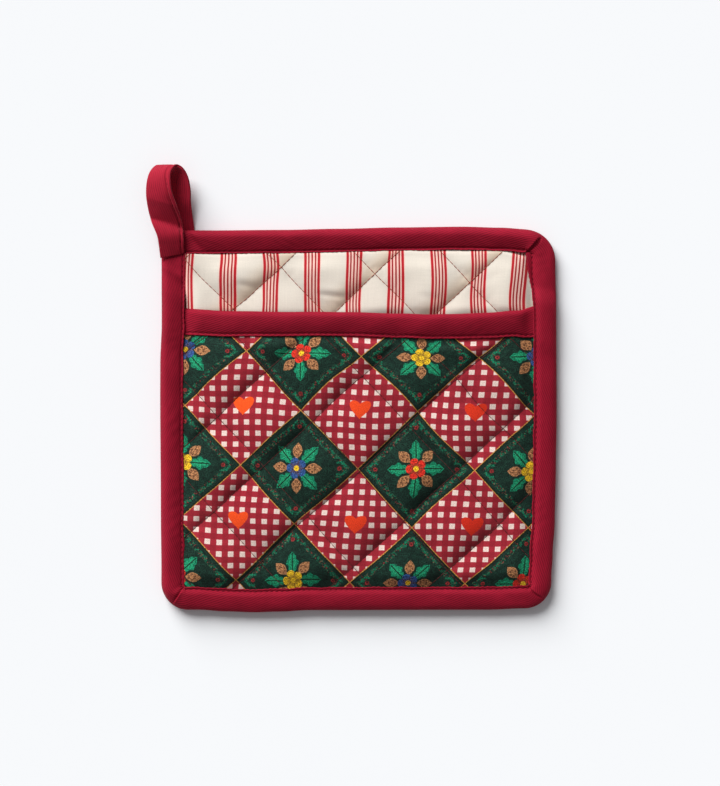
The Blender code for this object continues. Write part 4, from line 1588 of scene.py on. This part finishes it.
@dataclass(frozen=True)
class EdgeBinding:
    """One length of tape folded over all four edges, mitred at the corners.

    Its lip sinks on the left, but not beside the bare strip, where the pad's swell is under it.
    """

    fold: TapeFold = TapeFold(tape=0.8 * MM, back_curve=2.2 * MM)
    curves: tuple[float, float] = (4.5 * MM, 8.4 * MM)
    fullnesses: tuple[float, float] = (1.9, 1.5)
    lee_crown: float = 0.56
    lips: tuple[float, float] = (-0.25 * MM, 0.5 * MM)
    top_lip: float = 0.85 * MM
    strip_lip: float = 0.45 * MM
    strip_from: tuple[float, float] = (61 * MM, 67 * MM)
    grooves: tuple[float, float] = (0.26 * MM, 0.5 * MM)
    crown_rise: float = 2.8 * MM
    crown_on_pocket: float = 2.2 * MM
    crown_under_loop: float = 0.0 * MM
    inner_radius: float = 0.8 * MM
    step: float = 1.3 * MM
    wear: TapeWear = TapeWear(0.16 * MM, 17 * MM, 0.09 * MM, 62)
    scallop: float = 0.18 * MM
    scallop_reach: float = 2.4 * MM
    seam_inset: float = 1.35 * MM
    flare_seam: float = 0.62
    sewing: Sewing = Sewing(2.9 * MM)
    mitres: tuple[Mitre, ...] = (
        Mitre(Corner.TOP_RIGHT, 44.3, 11.2 * MM, 0.9 * MM, 2.6 * MM, 1.15 * MM, shift=-3.4 * MM),
        Mitre(Corner.BOTTOM_LEFT, 236.0, 11.6 * MM, 0.7 * MM, 0.5 * MM, 0.9 * MM),
        Mitre(Corner.BOTTOM_RIGHT, 319.6, 10.2 * MM, 0.35 * MM, 1.0 * MM, 0.5 * MM, bow=-0.9 * MM),
    )

    def corner_pairs(self, corner: Corner) -> Array:
        """Outer and inner points round a corner, closer together beside its mitre.

        Args:
            corner: The corner.

        Returns:
            Rows of outer and inner points, turning anticlockwise.
        """
        sign_x, sign_y, start = corner.value
        mitre = next((mitre.angle - start for mitre in self.mitres if mitre.corner is corner), 45.0)
        beside = np.concatenate((np.arange(-9, -3, 1.0), np.arange(-3, 3, 0.35), np.arange(3, 9.1, 1.0)))
        coarse = np.arange(0, 90.1, 3.0)
        degrees = np.sort(np.concatenate((coarse[np.abs(coarse - mitre) > 10], mitre + beside)))
        turn = np.radians(start + degrees)
        points = []
        arcs = ((corner.radius, corner.radius), (self.inner_radius, SQUARE.binding + self.inner_radius))
        for radius, reach in arcs:
            x = sign_x * (SQUARE.half_x - reach) + radius * np.cos(turn)
            y = sign_y * (SQUARE.half_y - reach) + radius * np.sin(turn)
            points.append(np.stack([x, y], axis=-1))
        return np.array(points)

    def stations(self) -> Array:
        """Rows of outer and inner points, anticlockwise from the middle of the top left corner."""
        order = (Corner.TOP_LEFT, Corner.BOTTOM_LEFT, Corner.BOTTOM_RIGHT, Corner.TOP_RIGHT)
        corners = [self.corner_pairs(corner) for corner in order]
        parts = []
        for this, after in zip(corners, corners[1:] + corners[:1]):
            count = int(np.linalg.norm(after[0, 0] - this[0, -1]) / self.step)
            share = np.linspace(0, 1, count + 1)[1:-1, None]
            parts += [this, mix(this[:, -1:], after[:, :1], share)]
        return np.roll(np.concatenate(parts, axis=1), -(corners[0].shape[1] // 2), axis=1)

    def stack_top(self, y: Array) -> Array:
        """The top of the cloth under the side bindings, by smooth steps past the mouth tape."""
        above = 1 - smooth(MOUTH.top + MOUTH.step_clear, MOUTH.top + MOUTH.step_clear + MOUTH.step, y)
        low = MOUTH.top - MOUTH.width - MOUTH.step_clear
        plain = mix(STACK.body_top, STACK.pocket_top, above)
        return mix(plain, STACK.mouth_top, above * smooth(low - MOUTH.step, low, y))

    def surface(self) -> tuple[Array, Array, Array]:
        """Works out the whole binding.

        Returns:
            Places, flat-cloth places, and the places along its sewn groove.
        """
        outer, inner = self.stations()
        flare = SQUARE.flare(*inner.T)
        inner[:, 0] -= flare
        middle = (outer + inner) / 2
        steps = np.linalg.norm(np.roll(middle, -1, axis=0) - middle, axis=1)
        along = np.concatenate(([0], np.cumsum(steps)))
        stack = self.stack_top(inner[:, 1])
        on_pocket = np.minimum((stack - STACK.body_top) / (STACK.pocket_top - STACK.body_top), 1)
        rise = mix(self.crown_rise, self.crown_on_pocket, on_pocket)
        rise = mix(rise, self.crown_under_loop, STACK.covered(*outer.T))
        back = STACK.loop_lift * STACK.lifted(*outer.T)
        front = stack + STACK.gap + STACK.tape
        fold = (STACK.body_bottom + back + STACK.body_top) / 2
        inward = inner - outer
        width = np.linalg.norm(inward, axis=1)
        here = along[:-1, None]
        seam = width - self.seam_inset - flare * self.flare_seam * smooth(0, 0.3, width / SQUARE.binding - 1)
        way = inward / width[:, None]
        lee = smooth(-0.5, 0.5, (way[:, 1] - way[:, 0]) * math.sqrt(0.5))
        at_top = smooth(0.3, 0.8, -way[:, 1])
        rise = rise * mix(1.0, self.lee_crown, lee)
        beside_strip = smooth(*self.strip_from, inner[:, 1]) * (1 - lee)
        side_lip = mix(mix(*self.lips, lee), self.strip_lip, beside_strip)
        deep = np.maximum(at_top, smooth(0, 1 * MM, flare))
        u, z, round_tape = self.fold.ring(
            width, seam, back, fold, front + rise, front, mix(side_lip, self.top_lip, at_top),
            mix(*self.grooves, deep), mix(*self.curves, lee), mix(*self.fullnesses, at_top), lee,
        )
        leg, _, depth = self.fold.columns()
        shown = ((leg < 2) & (depth == 0))[None] * smooth(0, 2.5 * MM, u)
        near_edge = smooth(width[:, None] - self.scallop_reach, width[:, None], u) * (leg == 0)
        edge_sway = ripples(here, 0 * here, 9 * MM, 61) + 0.8 * np.cos(math.tau * here / self.sewing.pitch)
        u = u + near_edge * self.scallop * edge_sway
        x = outer[:, :1] + way[:, :1] * u
        y = outer[:, 1:] + way[:, 1:] * u
        mitres = sum(mitre.relief(x, y) for mitre in self.mitres)
        z = z + shown * (self.wear.relief(here, u, seam, SQUARE.binding, self.sewing.pitch) + mitres)
        places = np.stack([*SQUARE.uneven(x, y), z], axis=-1)
        flat = flat_tape(along, np.vstack([round_tape, round_tape[:1]]))
        return places, flat, sewn_groove(places, u, (leg == 0) & (depth == 0), seam)

    def build(self) -> tuple[Piece, Piece]:
        """Makes the binding and its stitches."""
        places, flat, groove = self.surface()
        binding = sweep("edge_binding_tape", places, flat, closed=True)
        stitches = self.sewing.sew("edge_binding_stitches", [np.concatenate([groove, groove[:1]])])
        return binding, stitches


@dataclass(frozen=True)
class Mouth:
    """The pocket's mouth: its sagging edge, the arch below it, and the tape folded over it."""

    top: float = 59.2 * MM
    sag: float = 4.2 * MM
    stray: Wave = Wave(((-92, 0.3), (-75, 0.5), (-52, 1.3), (-28, 1.6), (-6, 1.3), (22, -0.2), (40, -1.3),
                        (55, -1.7), (70, -1.6), (84, -1.1), (93, 0.9)))
    seam_inset: float = 1.35 * MM
    lip: float = 0.1 * MM
    groove: float = 0.42 * MM
    spread: float = 2.4 * MM
    spread_from: tuple[float, float] = (82 * MM, 93 * MM)
    sag_reach: float = 40 * MM
    sag_power: float = 2.2
    width: float = 14.2 * MM
    narrowing: float = 1.6 * MM
    crown: float = 2.5 * MM
    crown_reach: float = 10 * MM
    tuck: float = 3.5 * MM
    edge_inset: float = 2.2 * MM
    step_clear: float = 0.8 * MM
    step: float = 12 * MM
    thinning: tuple[float, float] = (6 * MM, 0.5 * MM)
    lift: float = 1.2 * MM
    bulge: float = 7.5 * MM
    bulge_across_power: float = 2.6
    bulge_along_power: float = 2.2
    fade: float = 7 * MM
    station_step: float = 1.2 * MM
    wear: TapeWear = TapeWear(0.14 * MM, 19 * MM, 0.08 * MM, 72)
    fold: TapeFold = TapeFold(tape=0.6 * MM, back_curve=3.0 * MM)
    curve: float = 3.0 * MM
    fullness: float = 1.9
    sewing: Sewing = Sewing(3.0 * MM)

    def middle_share(self, x: Array) -> Array:
        """1 at the pocket's middle and 0 where its mouth meets the side bindings."""
        return 1 - np.minimum(np.abs(x) / (SQUARE.half_x - SQUARE.binding), 1) ** self.sag_power

    def edge(self, x: Array) -> Array:
        """The mouth's edge, which hangs a little between its sewn ends."""
        return self.top - self.sag * self.middle_share(x) + self.stray.out(x)

    def tape_width(self, x: Array) -> Array:
        """The tape's width on the pocket: narrower where the mouth rolls, wider at its right end."""
        return self.width - self.narrowing * self.middle_share(x) + self.spread * smooth(*self.spread_from, x)

    def fold_share(self, x: Array, y: Array) -> Array:
        """1 inside the tape's fold and 0 well below it."""
        edge = self.edge(x) - self.tape_width(x)
        return smooth(edge - self.thinning[0], edge - self.thinning[1], y)

    def pocket_under(self, x: Array, y: Array) -> Array:
        """The pocket's underside without its puffs: down at the sides and arched at the mouth.

        Args:
            x: Places across.
            y: Places along.

        Returns:
            Heights: a power of the distance from the middle, times a power of the distance
            below the mouth, over the sewn rim.
        """
        wide = np.minimum(SQUARE.inside(x, y), SQUARE.half_x - np.abs(x))
        free = smooth(SQUARE.binding, SQUARE.binding + self.fade, wide)
        half = SQUARE.half_x - SQUARE.binding - self.tuck
        across = 1 - np.minimum(np.abs(x) / half, 1) ** self.bulge_across_power
        length = self.top + SQUARE.half_y - SQUARE.binding
        along = 1 - np.clip((self.top - y) / length, 0, 1) ** self.bulge_along_power
        step = (STACK.mouth_tape + STACK.gap) * self.fold_share(x, y)
        return STACK.pocket_bottom + step + self.lift * free + self.bulge * across * along

    def build(self) -> tuple[Piece, Piece]:
        """Makes the mouth's tape and its stitches."""
        end = SQUARE.half_x - SQUARE.binding + self.tuck
        x = np.linspace(-end, end, int(2 * end / self.station_step))
        outside = STACK.mouth_rim / 2 + STACK.gap + STACK.mouth_tape
        crown = self.crown * smooth(0, self.crown_reach, SQUARE.half_x - SQUARE.binding - np.abs(x))
        level = np.full(len(x), outside)
        seam = self.tape_width(x) - self.seam_inset
        u, z, round_tape = self.fold.ring(
            self.tape_width(x), seam, -level, 0 * level, level + crown, level, self.lip, self.groove,
            self.curve, self.fullness, 0.0,
        )
        leg, _, depth = self.fold.columns()
        shown = ((leg < 2) & (depth == 0))[None] * smooth(0, 2 * MM, u)
        here = x[:, None]
        free = smooth(0, 6 * MM, SQUARE.half_x - SQUARE.binding - np.abs(here))
        z = z + shown * self.wear.relief(here, u, seam, self.width, self.sewing.pitch) * free
        y = self.edge(here) - u
        z = z + self.pocket_under(here + 0 * u, y) + STACK.mouth_rim / 2
        places = np.stack([*SQUARE.uneven(here + 0 * u, y), z], axis=-1)
        tape = sweep("mouth_binding_tape", places, flat_tape(-x, round_tape), closed=False)
        groove = sewn_groove(places, u, (leg == 0) & (depth == 0), seam)
        groove = groove[np.abs(x) < SQUARE.half_x - SQUARE.binding]
        return tape, self.sewing.sew("mouth_binding_stitches", [groove])


MOUTH = Mouth()


# --- The hanging loop ---


@dataclass(frozen=True)
class LoopStation:
    """One place along the loop: its two rims and its thickness, in mm."""

    left: tuple[float, float, float]
    right: tuple[float, float, float]
    thick: float


@dataclass(frozen=True)
class HangingLoop:
    """The binding's tail, folded double and stitched, from the front of the corner up and back."""

    stations: tuple[LoopStation, ...] = tuple(LoopStation(*row) for row in (
        ((-104.9, 85.1, 5.9), (-92.2, 87.7, 5.9), 0.8),
        ((-105.5, 91.6, 8.4), (-92.2, 91.6, 8.4), 1.2),
        ((-106.4, 97.0, 10.5), (-92.3, 97.0, 10.3), 1.6),
        ((-109.5, 104.5, 10.9), (-93.5, 105.3, 11.6), 1.8),
        ((-111.1, 111.1, 11.7), (-95.5, 112.2, 13.4), 1.8),
        ((-111.8, 118.0, 12.6), (-97.5, 118.5, 16.0), 1.8),
        ((-111.5, 124.4, 12.1), (-98.5, 124.6, 16.6), 1.8),
        ((-110.2, 129.8, 9.8), (-98.3, 130.0, 15.2), 1.8),
        ((-107.4, 133.5, 6.2), (-95.7, 133.3, 12.0), 1.8),
        ((-104.8, 132.6, 4.2), (-92.4, 131.8, 10.2), 1.8),
        ((-103.4, 128.6, 3.2), (-90.0, 127.5, 8.4), 1.8),
        ((-103.3, 122.2, 3.0), (-88.8, 121.2, 7.2), 1.8),
        ((-103.2, 114.8, 2.6), (-88.7, 114.3, 5.6), 1.8),
        ((-103.1, 107.4, 1.7), (-88.0, 107.4, 2.8), 1.8),
        ((-102.4, 100.4, 0.72), (-87.3, 100.4, 0.72), 1.4),
        ((-102.2, 95.0, 0.61), (-87.3, 95.0, 0.61), 1.2),
        ((-102.1, 88.8, 0.61), (-87.3, 88.8, 0.61), 1.2),
    ))
    steps: int = 9
    seam_insets: tuple[float, float] = (1.6 * MM, 2.3 * MM)
    inset_from: tuple[float, float] = (15 * MM, 32 * MM)
    sewn_until: float = 9.0
    groove: float = 1.0 * MM
    groove_half: float = 0.42 * MM
    inner_groove: float = 0.25
    slit: float = 0.9 * MM
    edge_round: float = 0.9 * MM
    ripple: float = 0.12 * MM
    belly: float = 0.7 * MM
    belly_from: tuple[float, float] = (-1 * MM, 9 * MM)
    belly_until: tuple[float, float] = (26 * MM, 44 * MM)
    crease: float = 4.0 * MM
    crease_at: float = 18.2 * MM
    crease_slant: float = 3.0 * MM
    crease_rise: float = 11.5 * MM
    crease_fall: float = 2.6 * MM
    crease_tilt: float = 0.25
    sewing: Sewing = Sewing(pitch=2.8 * MM, shown=0.72, radius=0.18 * MM, proud=0.08 * MM, dip=0.25 * MM)

    def through(self, rows: Array, places: Array) -> Array:
        """A smooth curve through evenly spaced rows, by cubics with the slope of their neighbours.

        Args:
            rows: Values, one row for each station.
            places: Where the curve is read, counted in stations.

        Returns:
            Values, one row for each place.
        """
        index = np.minimum(places.astype(int), len(rows) - 2)
        t = (places - index)[:, None]
        a, b = rows[index], rows[index + 1]
        slope_a = (b - rows[np.maximum(index - 1, 0)]) / 2
        slope_b = (rows[np.minimum(index + 2, len(rows) - 1)] - a) / 2
        start = a * (2 * t**3 - 3 * t**2 + 1) + slope_a * (t**3 - 2 * t**2 + t)
        return start + b * (3 * t**2 - 2 * t**3) + slope_b * (t**3 - t**2)

    def profile(self, half_width: Array, half: Array, inset: Array) -> tuple[Array, Array]:
        """The doubled tape's section at every station.

        Args:
            half_width: Half the width at each station.
            half: Half the thickness at each station.
            inset: The sewn groove's distance from the right rim at each station.

        Returns:
            Places across and heights round the ring: rounded at the fold on the left, with a
            sewn groove by the right rim, and a slit between the two layers there.
        """
        share = np.concatenate(([-1, -0.985, -0.95, -0.9, -0.82], np.linspace(-0.7, 0.6, 12),
                                np.linspace(0.68, 1.0, 13)))
        across = half_width[:, None] * share[None]
        from_left = across + half_width[:, None]
        from_right = half_width[:, None] - across
        fold = np.sqrt(np.clip(1 - (1 - np.minimum(from_left / self.edge_round, 1)) ** 2, 0, 1))
        lip = 0.3 + 0.7 * np.sqrt(np.clip(1 - (1 - np.minimum(from_right / (0.8 * MM), 1)) ** 2, 0, 1))
        deep = np.minimum(self.groove, 1.1 * half)[:, None]
        groove = deep * np.exp(-(((from_right - inset[:, None]) / self.groove_half) ** 2))
        outer = half[:, None] * fold * lip - groove
        inner = -(outer + (1 - self.inner_groove) * groove)[:, ::-1]
        slit_across = half_width[:, None] - self.slit + 0 * half[:, None]
        return (np.concatenate((across, slit_across, across[:, ::-1][:, :-1]), axis=1),
                np.concatenate((outer, 0 * slit_across, inner[:, :-1]), axis=1))

    def shape(self, along: Array, across: Array) -> Array:
        """How the front end swells over the corner, and is creased on its way up.

        Args:
            along: Distances along the loop from its front end.
            across: Shares of the half-width, from -1 to 1.

        Returns:
            Heights: a parabola across the tape between two smooth steps, and a slanting valley that
            falls by an exponential and rises again along a straight line.
        """
        swell = self.belly * smooth(*self.belly_from, along) * (1 - smooth(*self.belly_until, along))
        past = along - self.crease_at + self.crease_slant * across
        rising = 1 - np.clip(past / self.crease_rise, 0, 1)
        valley = np.where(past > 0, rising, np.exp(np.minimum(past, 0) / self.crease_fall))
        return swell * (1 - across**2) - self.crease * (1 + self.crease_tilt * across) * valley

    def build(self) -> tuple[Piece, Piece]:
        """Makes the loop and its stitches."""
        left = np.array([station.left for station in self.stations]) * MM
        right = np.array([station.right for station in self.stations]) * MM
        thick = np.array([[station.thick] for station in self.stations]) * MM
        places = np.linspace(0, len(left) - 1, (len(left) - 1) * self.steps + 1)
        left, right, thick = (self.through(rows, places) for rows in (left, right, thick))
        centre = (left + right) / 2
        forward = np.gradient(centre, axis=0)
        across = right - left
        half_width = np.linalg.norm(across, axis=1) / 2
        across /= np.linalg.norm(across, axis=1)[:, None]
        up = np.cross(across, forward)
        up /= np.linalg.norm(up, axis=1)[:, None]
        along = np.concatenate(([0], np.cumsum(np.linalg.norm(np.diff(centre, axis=0), axis=1))))[:, None]
        inset = mix(*self.seam_insets, smooth(*self.inset_from, along))
        u, v = self.profile(half_width, thick[:, 0] / 2, inset[:, 0])
        within = smooth(0, 2 * MM, half_width[:, None] - np.abs(u))
        v = v + self.ripple * ripples(along, u, 13 * MM, 81) * np.sign(v) * within
        points = centre[:, None] + across[:, None] * u[..., None] + up[:, None] * v[..., None]
        points[:, :, 2] += self.shape(along, u / half_width[:, None])
        points[:, :, 2] = np.maximum(points[:, :, 2], 0.0)
        flat = np.stack([np.broadcast_to(along, u.shape), u], axis=-1)
        flat = np.concatenate((flat, flat[:, :1]), axis=1)
        loop = sweep("hanging_loop_tape", points, flat, closed=False)
        raised = thick / 2 - np.minimum(self.groove, 0.55 * thick)
        seam = centre + across * (half_width[:, None] - inset) + up * raised
        seam[:, 2] += self.shape(along, 1 - inset / half_width[:, None])[:, 0]
        return loop, self.sewing.sew("hanging_loop_stitches", [seam[places < self.sewn_until]])


# --- The studio ---


@dataclass(frozen=True)
class Studio:
    """A pale floor, a large soft key light from the upper left, an even fill and the camera."""

    view_height: float = 416.6 * MM
    middle: tuple[float, float] = (0.93 * MM, 13.5 * MM)
    level: float = 6 * MM
    lens: float = 100.0
    sensor: float = 36.0
    key_azimuth: float = 122.0
    key_elevation: float = 31.0
    key_angle: float = 44.0
    key_strength: float = 5.19
    fill_strength: float = 0.25
    fill_colour: Colour = (0.96, 0.98, 1.0)
    floor_size: float = 6.0
    floor_drop: float = 0.1 * MM
    floor_cells: int = 4

    def camera(self) -> None:
        """Looks straight down on the middle of the view."""
        data = bpy.data.cameras.new("camera")
        data.lens, data.sensor_width, data.sensor_fit = self.lens, self.sensor, "AUTO"
        camera = put("camera", data)
        distance = self.view_height * self.lens / self.sensor
        camera.location = (*self.middle, self.level + distance)
        bpy.context.scene.camera = camera

    def floor(self) -> Piece:
        """A broad flat floor just under the pad's back."""
        cells, columns = np.arange(self.floor_cells), self.floor_cells + 1
        side = np.linspace(-self.floor_size / 2, self.floor_size / 2, columns)
        x, y = np.meshgrid(side, side, indexing="ij")
        points = np.stack([x, y, np.full_like(x, -self.floor_drop)], axis=-1).reshape(-1, 3)
        first = (cells[:, None] * columns + cells).ravel()
        faces = np.stack([first, first + columns, first + columns + 1, first + 1], axis=-1)
        mesh = bpy.data.meshes.new("studio_floor")
        mesh.from_pydata(points.tolist(), [], faces.tolist())
        mesh.materials.append(PaleFloor().material())
        return put("studio_floor", mesh)

    def lights(self) -> None:
        """Adds the key, whose wide angle softens its shadows, and the world's fill."""
        data = bpy.data.lights.new("key", "SUN")
        data.energy, data.angle = self.key_strength, math.radians(self.key_angle)
        key = put("key", data)
        azimuth, elevation = math.radians(self.key_azimuth), math.radians(self.key_elevation)
        flat = math.cos(elevation)
        towards = Vector((math.cos(azimuth) * flat, math.sin(azimuth) * flat, math.sin(elevation)))
        key.rotation_euler = towards.to_track_quat("Z", "Y").to_euler()
        world = bpy.data.worlds.new("studio")
        world.use_nodes = True
        background = world.node_tree.nodes["Background"]
        background.inputs["Color"].default_value = (*self.fill_colour, 1)
        background.inputs["Strength"].default_value = self.fill_strength
        bpy.context.scene.world = world

    def build(self) -> None:
        """Sets the studio up, with colours shown as they are lit."""
        self.camera()
        self.lights()
        self.floor()
        bpy.context.scene.view_settings.view_transform = "Standard"


# --- The whole ---


BODY_QUILT = Quilt((
    SeamFamily(42.0, 55.5 * MM, (4.3 * MM, 72.3 * MM), lean=0.5),
    SeamFamily(-46.0, 46.0 * MM, (12.6 * MM, 72.3 * MM)),
))
POCKET_QUILT = Quilt((
    SeamFamily(42.8, 52.6 * MM, (10.7 * MM, -16.7 * MM), lean=0.45),
    SeamFamily(-47.3, 48.2 * MM, (-8.7 * MM, -16.7 * MM)),
), cuts=34)
STRIP_CREASES = (
    Crease((-65, 72.6), (-51, 69.0), 0.5, 1.2),
    Crease((-66, 76.0), (-52, 74.0), -0.35, 2.2),
    Crease((-22, 66.4), (-6, 64.8), 0.6, 0.9),
    Crease((-22, 69.4), (-6, 68.0), -0.4, 1.9),
    Crease((30, 64.6), (44, 62.8), 0.3, 1.6),
    Crease((60, 70), (78, 76), 0.25, 2.8),
)
STRIP_DRIFTS = (
    Drift((84, 57), (14, 14), (-3.0, 0)),
    Drift((62, 64), (9, 12), (-1.2, 0)),
    Drift((-58, 62), (8, 8), (1.1, 0)),
    Drift((-74, 79), (17, 9), (-0.8, 0)),
    Drift((-44, 82), (9, 7), (0.7, 0)),
)
PRINT_DRIFTS = (
    Drift((-61, 6.6), (30, 28), (1.1, 0.5)),
    Drift((0.5, 5), (30, 28), (0, -1.1)),
    Drift((62, 3.4), (30, 28), (-1.6, -1.0)),
    Drift((-63.7, -53.8), (30, 28), (0, 0.6)),
    Drift((-2.2, -55.4), (30, 28), (-0.5, -1.4)),
    Drift((59.7, -56.4), (30, 28), (0, -1.0)),
)
QUILTING = Sewing(
    pitch=2.8 * MM, shown=1.0, radius=0.2 * MM, proud=0.12 * MM, dip=-0.02 * MM, rings=5, sides=5
)
SEAM_MARGIN = 8.5 * MM
# Crimson thread, darkened past its own colour: painted shade of the sewn groove it lies in.
BINDING_THREAD_PAINTED_DARKER = Thread("binding_thread_painted_darker", srgb(120, 12, 34))
QUILTING_THREAD = Thread("quilting_thread", srgb(146, 72, 54))
POCKET_THREAD = Thread("pocket_thread", srgb(84, 34, 34))


def dress(piece: Piece, material: Material, node: str | None, slot: str) -> None:
    """Gives a piece its material and body, and hides the CAD node that it stands for.

    Args:
        piece: The piece.
        material: Its finish.
        node: The CAD node that it replaces, if any.
        slot: Not used.
    """
    piece.data.materials.append(material)
    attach(piece, "root")
    if node is not None:
        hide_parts(node)
    LOG.info("%s: %d faces, %s", piece.name, len(piece.data.polygons), material.name)


def build_pads() -> None:
    """Makes the two quilted pads and their quilting threads."""
    body = BodyPad(
        "body_pad_cloth", "body_pad", "striped_cotton", BODY_QUILT, inset=1.5 * MM, seed=100,
        creases=STRIP_CREASES, drifts=STRIP_DRIFTS,
    )
    pocket = PocketPad(
        "pocket_pad_cloth", "pocket_pad", "printed_cotton", POCKET_QUILT, inset=2.4 * MM, seed=200,
        drifts=PRINT_DRIFTS,
    )
    striped, printed = StripedCotton(BODY_QUILT.families[0]), PrintedCotton(POCKET_QUILT.families[0])
    for pad, cotton, thread in ((body, striped, QUILTING_THREAD), (pocket, printed, POCKET_THREAD)):
        cloth = pad.cloth()
        dress(cloth, cotton.material(), pad.node, pad.slot)
        paths = pad.seam_paths(1, SEAM_MARGIN)
        if pad is body:
            paths += pad.seam_paths(0, SEAM_MARGIN)
        stitches = QUILTING.sew(pad.node + "_quilting", paths)
        dress(stitches, thread.material(), None, pad.slot)


def build_tapes() -> None:
    """Makes the edge binding, the mouth's binding and the hanging loop, with their stitches."""
    thread = BINDING_THREAD_PAINTED_DARKER.material()
    tape = TwillTape("twill_tape").material()
    # Painted light: the loop is the binding's own tape, given lighter colours since it stands up into the key
    # light.
    loop_tape = TwillTape(
        "twill_tape_of_loop_painted_lighter", srgb(160, 24, 46), srgb(122, 14, 35), rib_angle=7.0, rib_height=0.07, sheen=0.24
    ).material()
    made = (
        (EdgeBinding().build(), "edge_binding", (30 * MM, 822 * MM), tape),
        (MOUTH.build(), "mouth_binding", (30 * MM, 190 * MM), tape),
        (HangingLoop().build(), "hanging_loop", (14.5 * MM, 118 * MM), loop_tape),
    )
    for (cloth, stitches), node, flat, finish in made:
        dress(cloth, finish, node, "binding_tape")
        dress(stitches, thread, None, "binding_tape")


def main() -> None:
    """Builds the studio and every piece in order."""
    logging.basicConfig(level=logging.INFO, format="%(name)s: %(message)s")
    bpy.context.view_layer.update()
    Studio().build()
    build_pads()
    build_tapes()


if __name__ == "__main__":
    main()
